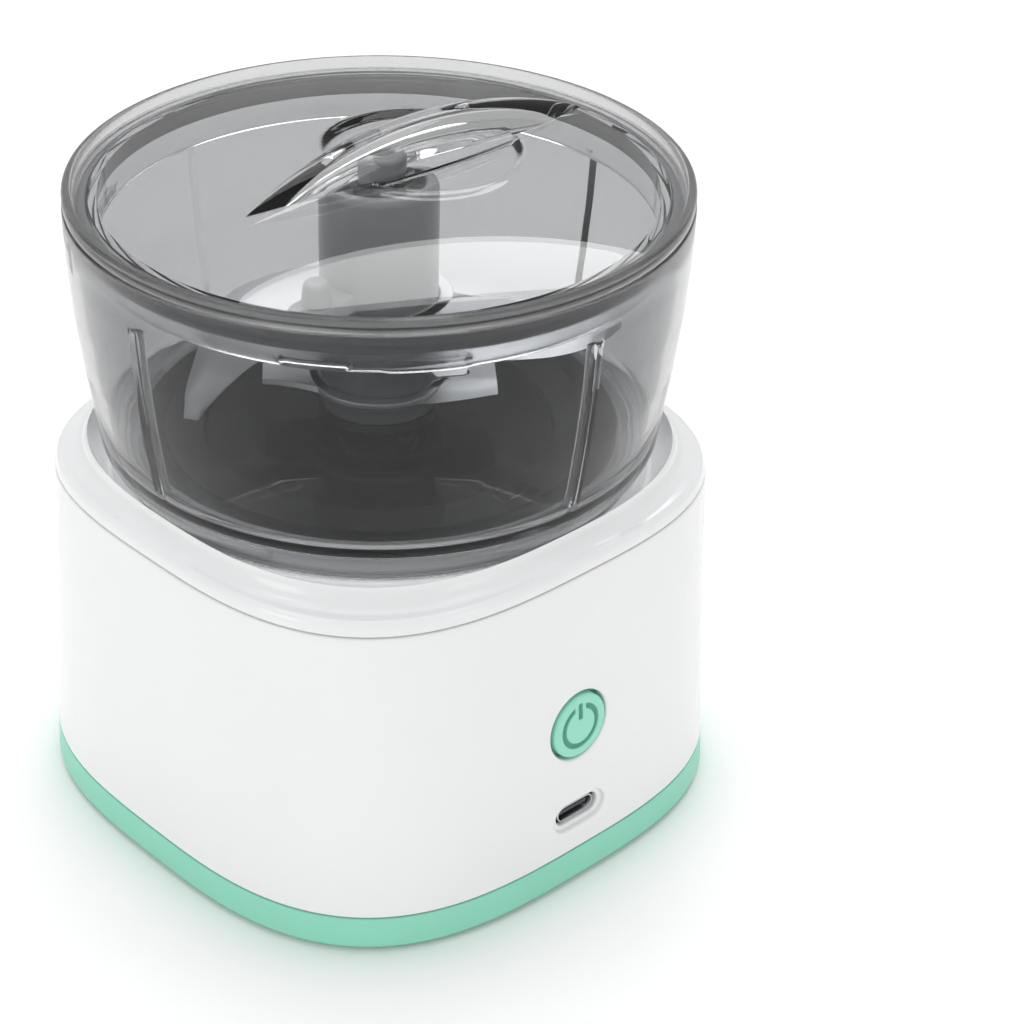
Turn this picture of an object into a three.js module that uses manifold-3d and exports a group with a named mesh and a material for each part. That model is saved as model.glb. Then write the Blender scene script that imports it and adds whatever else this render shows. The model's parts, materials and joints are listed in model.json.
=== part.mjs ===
// Rechargeable food processor: squared base with a round bayonet seat, bowl, blade unit and lid.
// Millimetres, +Z up. The origin is the middle of the footprint, on the surface it stands on.
// The front, with the power button and the charging port, faces -Y.
import * as THREE from "three";
import { mergeVertices } from "three/addons/utils/BufferGeometryUtils.js";
import Module from "manifold-3d";

const wasm = await Module();
wasm.setup();

// ---- driving dimensions ----
const GAP = 0.3; // clearance between pieces that touch
const CUT_OVER = 1; // how far a cutting body runs past the face it opens
const SQUARENESS = 3; // exponent of the superellipse plan of the base
const BASE_SIDES = 40;
const ROUND_SIDES = 32;
const SMALL_SIDES = 20;
const SCREW_SIDES = 16;
const SHANK_SIDES = 12;

const FOOT_LIFT = 0.8; // the feet stand this far below the bottom cover
const BAND_TOP = 7.4; // seam between the bottom cover and the base shell
const DECK_SEAM = 65.9; // seam between the base shell and the deck
const HALF_WIDTH_FOOT = 56.5;
const HALF_WIDTH_DECK = 53.9;
const WALL = 2.2;
const COVER_PLATE = 3; // inside level of the bottom cover
const LIP_TOP = 9.4; // the bottom cover's lip stands inside the shell up to here
const DECK_TOP = 68.9; // the flat ring that the bowl's skirt stands on

const DECK_HOLE = 44.7;
const SEAT_RADIUS = 44.4;
const SEAT_TOP = 73.5;
const SKIRT_OUT = 48;
const SKIRT_IN = 46.3;
const BOWL_FLOOR = 76;
const FLOOR_UNDERSIDE = 74;
const BOWL_RIM = 120;
const LID_TOP = 122.9;
const LID_RADIUS = 55.5;
const GRIP_TOP = 131.3;

// A quarter turn apart: seat ledges, bowl lugs, lid lugs and lid ledges.
const QUARTERS = [0, 90, 180, 270];
const BOWL_TURN = 15;
const LID_TURN = 20;
const SEAT_LEDGE = { inner: 43.6, outer: 45.9, low: 72, from: 1.5, arc: 24 };
const BOWL_LUG = { inner: 44.8, outer: 47, low: 69.7, high: 71.5, centre: -8, half: 6.5 };
const LID_LUG = { inner: 50.2, outer: 52.7, low: 111.4, high: 113, centre: 37, half: 7 };
const LID_LEDGE = { inner: 51.4, outer: 54, low: 113.4, high: 114.8, half: 8 };
const RIB = { depth: 1.8, width: 2, root: 0.6, top: 111.4 };

const HUB_RADIUS = 10.7;
const HUB_FOOT = 76.5;
const HUB_TOP = 121.4;
const BLADE_LEVEL = 98.2;
const LOWER_BLADE_LEVEL = 83.2;
const BLADE_THICKNESS = 1.2;
const UPPER_BLADE = { level: BLADE_LEVEL, reach: 44, ringOut: 13.4, chord: 34, sweep: 6 };
const LOWER_BLADE = { level: LOWER_BLADE_LEVEL, reach: 24, ringOut: 13, chord: 36, sweep: 4 };

const BUTTON_X = -0.9;
const BUTTON_Z = 34.6;
const BUTTON_RADIUS = 6.3;
const BUTTON_HOLE = 6.95;
const PORT_X = -0.4;
const PORT_Z = 15.4;
const PORT_BAY = { width: 12.7, height: 5.7, depth: 0.9 };
const PORT_SLOT = { width: 10.4, height: 3.9 };
const PORT_SLEEVE = { width: 9, height: 3.2, wall: 0.3, from: 1.4, to: 9 };

const FOOT_PLACE = 30;
const SCREW_PLACE = 38;
const MOTOR_RADIUS = 14;
const MOTOR_LOW = 23;
const MOTOR_HIGH = 58.4;
const MOTOR_SCREWS = [-8, 8];
const BRACKET_SCREWS = [-20, 20];
const BRACKET_LOW = MOTOR_HIGH + 1.8;
const BRACKET_THICK = 1.9;
const TEETH = [0, 120, 240];
const TOOTH_HALF = 20;
const CELL_RADIUS = 9.1;
const CELL_Y = 36.5;
const CELL_LEVELS = [13.2, 33.2];
const CELL_HALF = 32;
const HOLDER_TOP = 43;
const BOARD_FRONT = -42.6;
const BOARD_THICK = 1.6;
const BOARD_PEGS = [[-17, 26], [17, 26], [-17, 47], [17, 47]];
const CHARGE_PEGS = [-9, 9];

// ---- finishes: colour, roughness, metalness ----
const FINISH = {
  whiteShell: [0xf4f4f3, 0.22, 0],
  mintShell: [0x8fd9c0, 0.35, 0],
  mintButton: [0x96e1c8, 0.4, 0],
  smokeClear: [0x9a9c9e, 0.08, 0],
  darkSeat: [0x2b2c2e, 0.3, 0],
  hubGrey: [0x737577, 0.3, 0],
  rubber: [0x1e1f20, 0.8, 0],
  steel: [0xc9ccd0, 0.22, 1],
  bronze: [0xb08a4a, 0.35, 1],
  innerPlastic: [0x3a3c3e, 0.5, 0],
  circuit: [0x1f6b3c, 0.45, 0],
  cellWrap: [0x3c78b4, 0.35, 0],
  redWire: [0xb02a26, 0.5, 0],
  blackWire: [0x202020, 0.5, 0],
};

const part = new THREE.Group();

// ---- helpers ----
const radians = (degrees) => (degrees * Math.PI) / 180;

/** A closed geometry as a solid that can be joined and cut. */
function solid(geometry) {
  const bare = geometry.index ? geometry.toNonIndexed() : geometry.clone();
  bare.deleteAttribute("normal");
  bare.deleteAttribute("uv");
  const merged = mergeVertices(bare, 1e-3);
  return new wasm.Manifold(
    new wasm.Mesh({
      numProp: 3,
      vertProperties: merged.attributes.position.array,
      triVerts: new Uint32Array(merged.index.array),
    }),
  );
}

/** A solid back as a geometry. */
function geometryOf(body) {
  const made = body.getMesh();
  return new THREE.BufferGeometry()
    .setAttribute("position", new THREE.BufferAttribute(new Float32Array(made.vertProperties), 3))
    .setIndex(new THREE.BufferAttribute(new Uint32Array(made.triVerts), 1));
}

const join = (first, ...others) => others.reduce((sum, body) => sum.add(body), first);
const cut = (first, ...others) => others.reduce((rest, body) => rest.subtract(body), first);

/** Adds a named piece to the part, or to the group given. */
function piece(name, body, finish, parent = part) {
  const [color, roughness, metalness] = FINISH[finish];
  const material = new THREE.MeshStandardMaterial({ color, roughness, metalness });
  const mesh = new THREE.Mesh(geometryOf(body), material);
  mesh.name = name;
  parent.add(mesh);
  return mesh;
}

/** A solid of revolution about Z from a closed [radius, height] profile. */
function turned(profile, sides = ROUND_SIDES) {
  const next = (i) => profile[(i + 1) % profile.length];
  const area = profile.reduce((sum, [r, z], i) => sum + r * next(i)[1] - next(i)[0] * z, 0);
  const ordered = area > 0 ? profile : [...profile].reverse();
  const points = [...ordered, ordered[0]].map(([r, z]) => new THREE.Vector2(r, z));
  return solid(new THREE.LatheGeometry(points, sides).rotateX(Math.PI / 2));
}

/** An upright cylinder from one height to another. */
const rod = (radius, low, high, x = 0, y = 0, sides = 16) =>
  solid(
    new THREE.CylinderGeometry(radius, radius, high - low, sides)
      .rotateX(Math.PI / 2)
      .translate(x, y, (low + high) / 2),
  );

/** An upright tube about Z. */
const tube = (inner, outer, low, high, sides = ROUND_SIDES) =>
  turned([[inner, low], [outer, low], [outer, high], [inner, high]], sides);

/** A box between two corners. */
function box(low, high) {
  const size = high.map((value, i) => value - low[i]);
  const middle = high.map((value, i) => (value + low[i]) / 2);
  return solid(new THREE.BoxGeometry(...size).translate(...middle));
}

/** A block bent round Z, between two radii, two heights and two angles in degrees. */
function arcBlock(inner, outer, low, high, from, to) {
  const shape = new THREE.Shape();
  shape.absarc(0, 0, outer, radians(from), radians(to), false);
  shape.absarc(0, 0, inner, radians(to), radians(from), true);
  const geometry = new THREE.ExtrudeGeometry(shape, {
    depth: high - low,
    bevelEnabled: false,
    curveSegments: 4,
  });
  return solid(geometry.translate(0, 0, low));
}

/** One level ring of points: a superellipse of the given half width and exponent. */
function ring(halfWidth, z, exponent = SQUARENESS) {
  return Array.from({ length: BASE_SIDES }, (_, i) => {
    const angle = (2 * Math.PI * i) / BASE_SIDES;
    const c = Math.cos(angle);
    const s = Math.sin(angle);
    const reach = halfWidth / (Math.abs(c) ** exponent + Math.abs(s) ** exponent) ** (1 / exponent);
    return [reach * c, reach * s, z];
  });
}

/** A solid skinned through level rings. With a hollow, the last ring joins back to the first. */
function skinned(rings, hollow) {
  const count = BASE_SIDES;
  const positions = rings.flat();
  const triangles = [];
  const bands = hollow ? rings.length : rings.length - 1;
  for (let k = 0; k < bands; k += 1) {
    const low = k * count;
    const high = ((k + 1) % rings.length) * count;
    for (let i = 0; i < count; i += 1) {
      const j = (i + 1) % count;
      triangles.push([low + i, low + j, high + j], [low + i, high + j, high + i]);
    }
  }
  if (!hollow) {
    const bottom = positions.push([0, 0, rings[0][0][2]]) - 1;
    const top = positions.push([0, 0, rings.at(-1)[0][2]]) - 1;
    const last = (rings.length - 1) * count;
    for (let i = 0; i < count; i += 1) {
      const j = (i + 1) % count;
      triangles.push([bottom, j, i], [top, last + i, last + j]);
    }
  }
  const geometry = new THREE.BufferGeometry();
  geometry.setAttribute("position", new THREE.Float32BufferAttribute(positions.flat(), 3));
  geometry.setIndex(triangles.flat());
  return solid(geometry);
}

/** A round bar along a smooth curve through points. */
function wire(points, radius, steps) {
  const section = new THREE.Shape().absarc(0, 0, radius, 0, 2 * Math.PI, false);
  const path = new THREE.CatmullRomCurve3(points.map((p) => new THREE.Vector3(...p)));
  const options = { steps, extrudePath: path, bevelEnabled: false, curveSegments: 4 };
  return solid(new THREE.ExtrudeGeometry(section, options));
}

/** Half width of the base's outside at a height. */
const halfWidthAt = (z) =>
  HALF_WIDTH_FOOT -
  ((HALF_WIDTH_FOOT - HALF_WIDTH_DECK) * (z - FOOT_LIFT)) / (DECK_SEAM - FOOT_LIFT);

/** The four corners of a square of places. */
const corners = (place) =>
  [[1, 1], [-1, 1], [-1, -1], [1, -1]].map(([x, y]) => [x * place, y * place]);

/** A bar along Y from one place to another. */
const barY = (radius, fromY, toY, x, z, sides = SMALL_SIDES) =>
  solid(
    new THREE.CylinderGeometry(radius, radius, toY - fromY, sides)
      .translate(x, (fromY + toY) / 2, z),
  );

/** A bar along X between two places. */
const barX = (radius, fromX, toX, y, z, sides = SMALL_SIDES) =>
  solid(
    new THREE.CylinderGeometry(radius, radius, toX - fromX, sides)
      .rotateZ(Math.PI / 2)
      .translate((fromX + toX) / 2, y, z),
  );

/** An upright hexagonal bar on the axis. */
const hexBar = (radius, low, high) => rod(radius, low, high, 0, 0, 6);

/** An outline drawn in the level plane, raised between two heights. */
function raised(shape, low, high, curveSegments = 12) {
  const options = { depth: high - low, bevelEnabled: false, curveSegments };
  return solid(new THREE.ExtrudeGeometry(shape, options).translate(0, 0, low));
}

/** A pan-head screw with its shank upwards, head underneath. */
const PAN_HEAD = { radius: 2.6, height: 1.4, shank: 1.3 };
const screwUp = (x, y, headLow, length) =>
  join(
    rod(PAN_HEAD.radius, headLow, headLow + PAN_HEAD.height, x, y, SCREW_SIDES),
    rod(PAN_HEAD.shank, headLow + 1.2, headLow + length, x, y, SHANK_SIDES),
  );

/** A rounded slot through the front wall at the port, from one depth to another. */
function portSlot({ width, height }, fromY, toY) {
  const r = height / 2;
  const half = width / 2 - r;
  const shape = new THREE.Shape();
  shape.absarc(half, 0, r, -Math.PI / 2, Math.PI / 2, false);
  shape.absarc(-half, 0, r, Math.PI / 2, (3 * Math.PI) / 2, false);
  const options = { depth: toY - fromY, bevelEnabled: false, curveSegments: 8 };
  const geometry = new THREE.ExtrudeGeometry(shape, options);
  return solid(geometry.rotateX(Math.PI / 2).translate(PORT_X, toY, PORT_Z));
}

// ---- base shell, bottom cover, feet ----
const WALL_TILT = Math.atan((HALF_WIDTH_FOOT - HALF_WIDTH_DECK) / (DECK_SEAM - FOOT_LIFT));
const FRONT_AT_BUTTON = -halfWidthAt(BUTTON_Z);
const FRONT_AT_PORT = -halfWidthAt(PORT_Z);
const SHELL_BOSS = {
  radius: 3.4, hole: 1.6, low: 8, high: 26, webRadius: 1.2, webs: [12, 22], reach: 1.13,
};

/** The round boss for a bottom screw, tied to the corner wall by two webs. */
function makeShellBoss(x, y) {
  const { radius, low, high, webRadius, webs, reach } = SHELL_BOSS;
  const ties = webs.map((z) => wire([[x, y, z], [x * reach, y * reach, z]], webRadius, 1));
  return join(rod(radius, low, high, x, y, SCREW_SIDES), ...ties);
}

function makeBaseShell() {
  const low = BAND_TOP + GAP;
  const high = DECK_SEAM - GAP;
  const walls = [
    ring(halfWidthAt(low), low),
    ring(halfWidthAt(high), high),
    ring(halfWidthAt(high) - WALL, high),
    ring(halfWidthAt(low) - WALL, low),
  ];
  const pegs = BOARD_PEGS.map(([x, z]) =>
    barY(2.5, -halfWidthAt(z) + WALL / 2, BOARD_FRONT - GAP, x, z, SHANK_SIDES));
  const bosses = corners(SCREW_PLACE).map(([x, y]) => makeShellBoss(x, y));
  const { hole, low: bossLow, high: bossHigh } = SHELL_BOSS;
  const holes = corners(SCREW_PLACE).map(([x, y]) =>
    rod(hole, bossLow - CUT_OVER, bossHigh + CUT_OVER, x, y, SHANK_SIDES));
  const shell = join(skinned(walls, true), ...pegs, ...bosses);
  const outside = FRONT_AT_PORT - 2 * CUT_OVER;
  return cut(
    shell,
    ...holes,
    barY(BUTTON_HOLE, FRONT_AT_BUTTON - 2, FRONT_AT_BUTTON + 4, BUTTON_X, BUTTON_Z),
    portSlot(PORT_BAY, outside, FRONT_AT_PORT + PORT_BAY.depth),
    portSlot(PORT_SLOT, outside, FRONT_AT_PORT + 2 * WALL),
  );
}
piece("base_shell", makeBaseShell(), "whiteShell");

const FOOT = { radius: 6.5, recess: 6.8, height: 1.5, recessTop: 1.8 };
const COVER_BOSS = { radius: 3.6, top: 7.6, well: 3, wellTop: 3.2, hole: 1.7 };
const CHARGE_POST = { radius: 2, top: 11.5, y: -40 };

function makeBottomCover() {
  const lipOut = (z) => halfWidthAt(z) - WALL - GAP;
  const inner = lipOut(LIP_TOP) - 1.6;
  const tray = skinned(
    [ring(HALF_WIDTH_FOOT, FOOT_LIFT), ring(halfWidthAt(BAND_TOP), BAND_TOP)],
    false,
  );
  const lip = skinned(
    [ring(lipOut(BAND_TOP), BAND_TOP - 2), ring(lipOut(LIP_TOP), LIP_TOP)],
    false,
  );
  const hollow = skinned([ring(inner, COVER_PLATE), ring(inner, LIP_TOP + CUT_OVER)], false);
  const recesses = corners(FOOT_PLACE).map(([x, y]) =>
    rod(FOOT.recess, 0, FOOT.recessTop, x, y, SMALL_SIDES));
  let cover = cut(join(tray, lip), hollow, ...recesses);
  const root = COVER_PLATE - 0.5;
  for (const [x, y] of corners(SCREW_PLACE)) {
    cover = join(cover, rod(COVER_BOSS.radius, root, COVER_BOSS.top, x, y, SCREW_SIDES));
    const well = rod(COVER_BOSS.well, 0, COVER_BOSS.wellTop, x, y, SCREW_SIDES);
    const hole = rod(COVER_BOSS.hole, COVER_PLATE, COVER_BOSS.top + CUT_OVER, x, y, SHANK_SIDES);
    cover = cut(cover, well, hole);
  }
  const posts = CHARGE_PEGS.map((x) =>
    rod(CHARGE_POST.radius, root, CHARGE_POST.top, x, CHARGE_POST.y, SHANK_SIDES));
  return join(cover, ...posts);
}
piece("bottom_cover", makeBottomCover(), "mintShell");

corners(FOOT_PLACE).forEach(([x, y], i) => {
  piece(`rubber_foot_${i + 1}`, rod(FOOT.radius, 0, FOOT.height, x, y, SMALL_SIDES), "rubber");
});
corners(SCREW_PLACE).forEach(([x, y], i) => {
  piece(`bottom_screw_${i + 1}`, screwUp(x, y, FOOT.height, 16), "steel");
});

// ---- deck and bowl seat ----
const DECK_INSIDE = HALF_WIDTH_DECK - WALL - 0.4; // outside of the lip that drops into the shell
const DECK_FLAT = 49; // the flat round top ends at this radius

/** The deck's rings, from the seam over the top, down the hole and back round the lip. */
function makeDeckCover() {
  const lipLow = DECK_SEAM - 2.4;
  return skinned(
    [
      ring(HALF_WIDTH_DECK, DECK_SEAM),
      ring(HALF_WIDTH_DECK - 0.3, DECK_SEAM + 1),
      ring(HALF_WIDTH_DECK - 1.4, DECK_SEAM + 1.9),
      ring(51.2, DECK_SEAM + 2.5, 2.6),
      ring(DECK_FLAT, DECK_TOP, 2),
      ring(DECK_HOLE, DECK_TOP, 2),
      ring(DECK_HOLE, DECK_TOP - 2, 2),
      ring(DECK_FLAT - 1, DECK_TOP - 2, 2),
      ring(DECK_INSIDE - 1.6, DECK_SEAM),
      ring(DECK_INSIDE - 1.6, lipLow),
      ring(DECK_INSIDE, lipLow),
      ring(DECK_INSIDE, DECK_SEAM),
    ],
    true,
  );
}
piece("deck_cover", makeDeckCover(), "whiteShell");

const SEAT_SCREW_RADIUS = 46;
const SEAT_SCREW_LOW = 60.9;
const LOCK_SLOT = { inner: 34, outer: 38, from: [-5, 175], arc: BOWL_TURN + 16 };
const BRACKET_BOSS = { radius: 3.4, low: 62.4, high: 66.8, hole: 1.5 };

/** The seat: a round platform with four bayonet ledges; the bowl's lugs go down between them. */
function makeBowlSeat() {
  const { inner, outer, low, from, arc } = SEAT_LEDGE;
  const platform = turned([
    [12.6, 68], [12.6, 72.4], [32, 72.4], [32, 69.4], [40, 69.4], [40, SEAT_TOP],
    [SEAT_RADIUS, SEAT_TOP], [SEAT_RADIUS, 66.2], [47.5, 66.2], [47.5, 64.4],
    [30, 64.4], [30, 66.6], [14.5, 66.6], [14.5, 64.4], [10.5, 64.4], [10.5, 68],
  ]);
  const ledges = QUARTERS.map((turn) =>
    arcBlock(inner, outer, low, SEAT_TOP, turn + from, turn + from + arc));
  const slots = LOCK_SLOT.from.map((side) =>
    arcBlock(LOCK_SLOT.inner, LOCK_SLOT.outer, 63, 70, side, side + LOCK_SLOT.arc));
  const { radius, low: bossLow, high: bossHigh, hole } = BRACKET_BOSS;
  const bosses = BRACKET_SCREWS.map((x) => rod(radius, bossLow, bossHigh, x, 0, SCREW_SIDES));
  const holes = BRACKET_SCREWS.map((x) => rod(hole, bossLow - CUT_OVER, 69, x, 0, SHANK_SIDES));
  return cut(join(cut(join(platform, ...ledges), ...slots), ...bosses), ...holes);
}
piece("bowl_seat", makeBowlSeat(), "darkSeat");

QUARTERS.forEach((quarter, i) => {
  const angle = radians(quarter + 45);
  const [x, y] = [SEAT_SCREW_RADIUS * Math.cos(angle), SEAT_SCREW_RADIUS * Math.sin(angle)];
  piece(`seat_screw_${i + 1}`, screwUp(x, y, SEAT_SCREW_LOW, 2.9), "steel");
});

// ---- drive ----
function makeMotorCan() {
  const can = turned(
    [
      [0, MOTOR_LOW + 3], [MOTOR_RADIUS, MOTOR_LOW + 3], [MOTOR_RADIUS, MOTOR_HIGH - 1.2],
      [MOTOR_RADIUS - 1.2, MOTOR_HIGH], [5, MOTOR_HIGH], [5, MOTOR_HIGH + 1.5], [0, MOTOR_HIGH + 1.5],
    ],
    SMALL_SIDES,
  );
  const taps = MOTOR_SCREWS.map((x) =>
    rod(1.2, MOTOR_HIGH - 4, MOTOR_HIGH + CUT_OVER, x, 0, SHANK_SIDES));
  return cut(can, ...taps, rod(1.8, MOTOR_LOW + 24, MOTOR_HIGH + 3));
}
piece("motor_can", makeMotorCan(), "steel");

/** The motor's rear cap with its two terminal tags. */
function makeMotorEndCap() {
  const tag = (x) => box([x - 0.4, -1.5, MOTOR_LOW - 4], [x + 0.4, 1.5, MOTOR_LOW + 1]);
  const disc = rod(MOTOR_RADIUS - 0.4, MOTOR_LOW, MOTOR_LOW + 3 - GAP, 0, 0, SMALL_SIDES);
  return join(disc, tag(-8.6), tag(8.6));
}
piece("motor_end_cap", makeMotorEndCap(), "innerPlastic");

function makeMotorDamper() {
  const holes = MOTOR_SCREWS.map((x) => rod(1.9, MOTOR_HIGH, MOTOR_HIGH + 2, x, 0, SHANK_SIDES));
  return cut(tube(5.4, 12, MOTOR_HIGH + GAP, MOTOR_HIGH + 1.5, SMALL_SIDES), ...holes);
}
piece("motor_damper", makeMotorDamper(), "rubber");

function makeMotorBracket() {
  const top = BRACKET_LOW + BRACKET_THICK;
  const through = (radius, x, sides) =>
    rod(radius, BRACKET_LOW - CUT_OVER, top + CUT_OVER, x, 0, sides);
  return cut(
    join(
      rod(15, BRACKET_LOW, top, 0, 0, SMALL_SIDES),
      box([-25, -6, BRACKET_LOW], [25, 6, top]),
    ),
    ...MOTOR_SCREWS.map((x) => through(1.9, x, SHANK_SIDES)),
    ...BRACKET_SCREWS.map((x) => through(1.8, x, SHANK_SIDES)),
    through(5.6, 0, SCREW_SIDES),
  );
}
piece("motor_bracket", makeMotorBracket(), "steel");

MOTOR_SCREWS.forEach((x, i) => {
  const head = BRACKET_LOW + BRACKET_THICK + GAP;
  const shank = rod(0.9, MOTOR_HIGH - 3.6, head + 0.2, x, 0, SHANK_SIDES);
  const pan = rod(1.8, head, head + 1, x, 0, SHANK_SIDES);
  piece(`motor_screw_${i + 1}`, join(pan, shank), "steel");
});
BRACKET_SCREWS.forEach((x, i) => {
  const head = BRACKET_LOW - GAP - 1.4;
  const shank = rod(1.2, head + 1, 65.8, x, 0, SHANK_SIDES);
  const pan = rod(2.8, head, head + 1.4, x, 0, SCREW_SIDES);
  piece(`bracket_screw_${i + 1}`, join(pan, shank), "steel");
});

/** A jaw coupling's three teeth. */
const jaws = (outer, low, high, offset) =>
  TEETH.map((turn) => {
    const middle = turn + offset;
    return arcBlock(3.6, outer, low, high, middle - TOOTH_HALF, middle + TOOTH_HALF);
  });

piece("motor_shaft", rod(1.5, MOTOR_LOW + 24.4, 70.6), "steel");
piece(
  "drive_coupling",
  join(tube(1.9, 7, 67.4, 70.4, SMALL_SIDES), ...jaws(6.8, 70, 73.4, 0)),
  "innerPlastic",
);
piece(
  "well_seal",
  turned([[7.4, 68.4], [12.3, 68.4], [12.3, 70], [9, 70], [7.4, 69.2]], SMALL_SIDES),
  "rubber",
);

// ---- interlock ring: turned by the bowl's two pegs, it carries a finger down to the switch ----
const BOWL_PEG = { inner: 34.6, outer: 37.4, low: 72, sides: [85, 265], arc: 10 };

function makeLockRing() {
  const room = 0.8;
  const notches = BOWL_PEG.sides.map((side) => {
    const { inner, outer, arc } = BOWL_PEG;
    return arcBlock(inner - room, outer + room, 71.4, 75, side - 1, side + arc + 1);
  });
  const fingers = [-1, 179].map((side) => arcBlock(34.6, 37.4, 62, 70.4, side, side + 8));
  return join(cut(tube(32.4, 39.6, 69.8, 73.4), ...notches), ...fingers);
}
piece("lock_ring", makeLockRing(), "innerPlastic");

// ---- electrics ----
function makeBatteryHolder() {
  const half = CELL_HALF + 0.4;
  const bays = CELL_LEVELS.flatMap((z) => [
    barX(CELL_RADIUS + GAP, -half, half, CELL_Y, z),
    box([-half, 20, z - 9], [half, CELL_Y, z + 9]),
  ]);
  return cut(box([-33.7, 27.5, COVER_PLATE + GAP], [33.7, 45.8, HOLDER_TOP]), ...bays);
}
piece("battery_holder", makeBatteryHolder(), "innerPlastic");

CELL_LEVELS.forEach((z, i) => {
  const can = barX(CELL_RADIUS, -CELL_HALF, CELL_HALF - 1, CELL_Y, z);
  const button = barX(3, CELL_HALF - 1.5, CELL_HALF, CELL_Y, z);
  piece(`battery_cell_${i + 1}`, join(can, button), "cellWrap");
});

function makeControlBoard() {
  const chips = [
    box([-13, BOARD_FRONT + 1, 38], [-5, BOARD_FRONT + 4, 46]),
    box([6, BOARD_FRONT + 1, 24], [14, BOARD_FRONT + 3, 30]),
  ];
  const holes = BOARD_PEGS.map(([x, z]) =>
    barY(1.3, BOARD_FRONT - CUT_OVER, BOARD_FRONT + 3, x, z, SHANK_SIDES));
  const board = box([-22, BOARD_FRONT, 20], [22, BOARD_FRONT + BOARD_THICK, 52]);
  return cut(join(board, ...chips), ...holes);
}
piece("control_board", makeControlBoard(), "circuit");

BOARD_PEGS.forEach(([x, z], i) => {
  const back = BOARD_FRONT + BOARD_THICK + GAP;
  const head = barY(2.2, back, back + 1.3, x, z, SCREW_SIDES);
  const shank = barY(1, BOARD_FRONT, back + 0.5, x, z, SHANK_SIDES);
  piece(`board_screw_${i + 1}`, join(head, shank), "steel");
});

function makeChargeBoard() {
  const holes = CHARGE_PEGS.map((x) => rod(0.9, 11, 15, x, CHARGE_POST.y, SHANK_SIDES));
  return cut(box([-13, -52.4, 11.9], [13, -34, 13.5]), ...holes);
}
piece("charge_board", makeChargeBoard(), "circuit");

/** The receptacle: a metal oval sleeve, open at the front. */
function makePortShell() {
  const { width, height, wall, from, to } = PORT_SLEEVE;
  const bore = { width: width - 2 * wall, height: height - 2 * wall };
  return cut(
    portSlot(PORT_SLEEVE, FRONT_AT_PORT + from, FRONT_AT_PORT + to),
    portSlot(bore, FRONT_AT_PORT, FRONT_AT_PORT + to - 2 * wall),
  );
}
piece("port_shell", makePortShell(), "steel");
piece(
  "port_tongue",
  box(
    [PORT_X - 3.3, FRONT_AT_PORT + 2, PORT_Z - 0.35],
    [PORT_X + 3.3, FRONT_AT_PORT + PORT_SLEEVE.to - 1, PORT_Z + 0.35],
  ),
  "innerPlastic",
);

// ---- power button, in the plane of the sloping front wall: local +Y points into the base ----
const front = new THREE.Group();
front.position.set(BUTTON_X, FRONT_AT_BUTTON, BUTTON_Z);
front.rotation.x = -WALL_TILT;
part.add(front);

const depthBar = (radius, from, to, sides = SMALL_SIDES) => barY(radius, from, to, 0, 0, sides);
const BUTTON = { proud: 0.3, flange: 7.8, stem: 1.6, flangeFrom: 2.6, flangeTo: 3.6, stemTo: 6.9 };

function makeButton() {
  const { proud, flange, stem, flangeFrom, flangeTo, stemTo } = BUTTON;
  return join(
    depthBar(BUTTON_RADIUS, -proud, flangeFrom + 0.2),
    depthBar(flange, flangeFrom, flangeTo),
    depthBar(stem, flangeTo - 0.2, stemTo, SCREW_SIDES),
  );
}
piece("power_button", makeButton(), "mintButton", front);

/** The cup behind the button that guides its flange and its stem. */
const makeButtonGuide = () =>
  cut(depthBar(9.6, 2.5, 7), depthBar(8.2, 2, 5.8), depthBar(2.1, 5, 8, SCREW_SIDES));
piece("button_guide", makeButtonGuide(), "mintShell", front);

/** A conical spring round the stem, between the flange and the guide's floor. */
function makeButtonSpring() {
  const spring = { radius: 4.2, flare: 2.6, wire: 0.4, turns: 3, from: 4.3, to: 5.2, perTurn: 8 };
  const steps = spring.turns * spring.perTurn;
  const coil = Array.from({ length: steps + 1 }, (_, i) => {
    const angle = (2 * Math.PI * i) / spring.perTurn;
    const share = i / steps;
    const reach = spring.radius + spring.flare * share;
    const along = spring.from + (spring.to - spring.from) * share;
    return [reach * Math.cos(angle), along, reach * Math.sin(angle)];
  });
  return wire(coil, spring.wire, spring.turns * 10);
}
piece("button_spring", makeButtonSpring(), "steel", front);

/** A switch body in front of the control board, with its plunger under the button's stem. */
function makePowerSwitch() {
  const face = FRONT_AT_BUTTON + 8.4;
  const body = box(
    [BUTTON_X - 3, face + 0.8, BUTTON_Z - 3.3],
    [BUTTON_X + 3, BOARD_FRONT - GAP, BUTTON_Z + 2.7],
  );
  return join(body, barY(1.7, face, face + 1.2, BUTTON_X, BUTTON_Z - 0.3, SCREW_SIDES));
}
piece("power_switch", makePowerSwitch(), "innerPlastic");
piece(
  "interlock_switch",
  join(box([30.5, 13.6, 54], [40.5, 19.4, 61.6]), box([34, 15, 61.4], [38, 18, 62.6])),
  "innerPlastic",
);

/** One lead, from a motor terminal under the motor to the control board. */
function makeLead(side) {
  const x = side * 8.6;
  const route = [
    [x, 0, MOTOR_LOW - 4.6],
    [x, -1, MOTOR_LOW - 8],
    [x, -12, MOTOR_LOW - 9],
    [x * 1.2, -30, 17],
    [x * 1.3, BOARD_FRONT + 9, 26],
    [x * 1.3, BOARD_FRONT + 3, 36],
  ];
  return wire(route, 0.8, 18);
}
piece("motor_lead_red", makeLead(-1), "redWire");
piece("motor_lead_black", makeLead(1), "blackWire");

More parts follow.
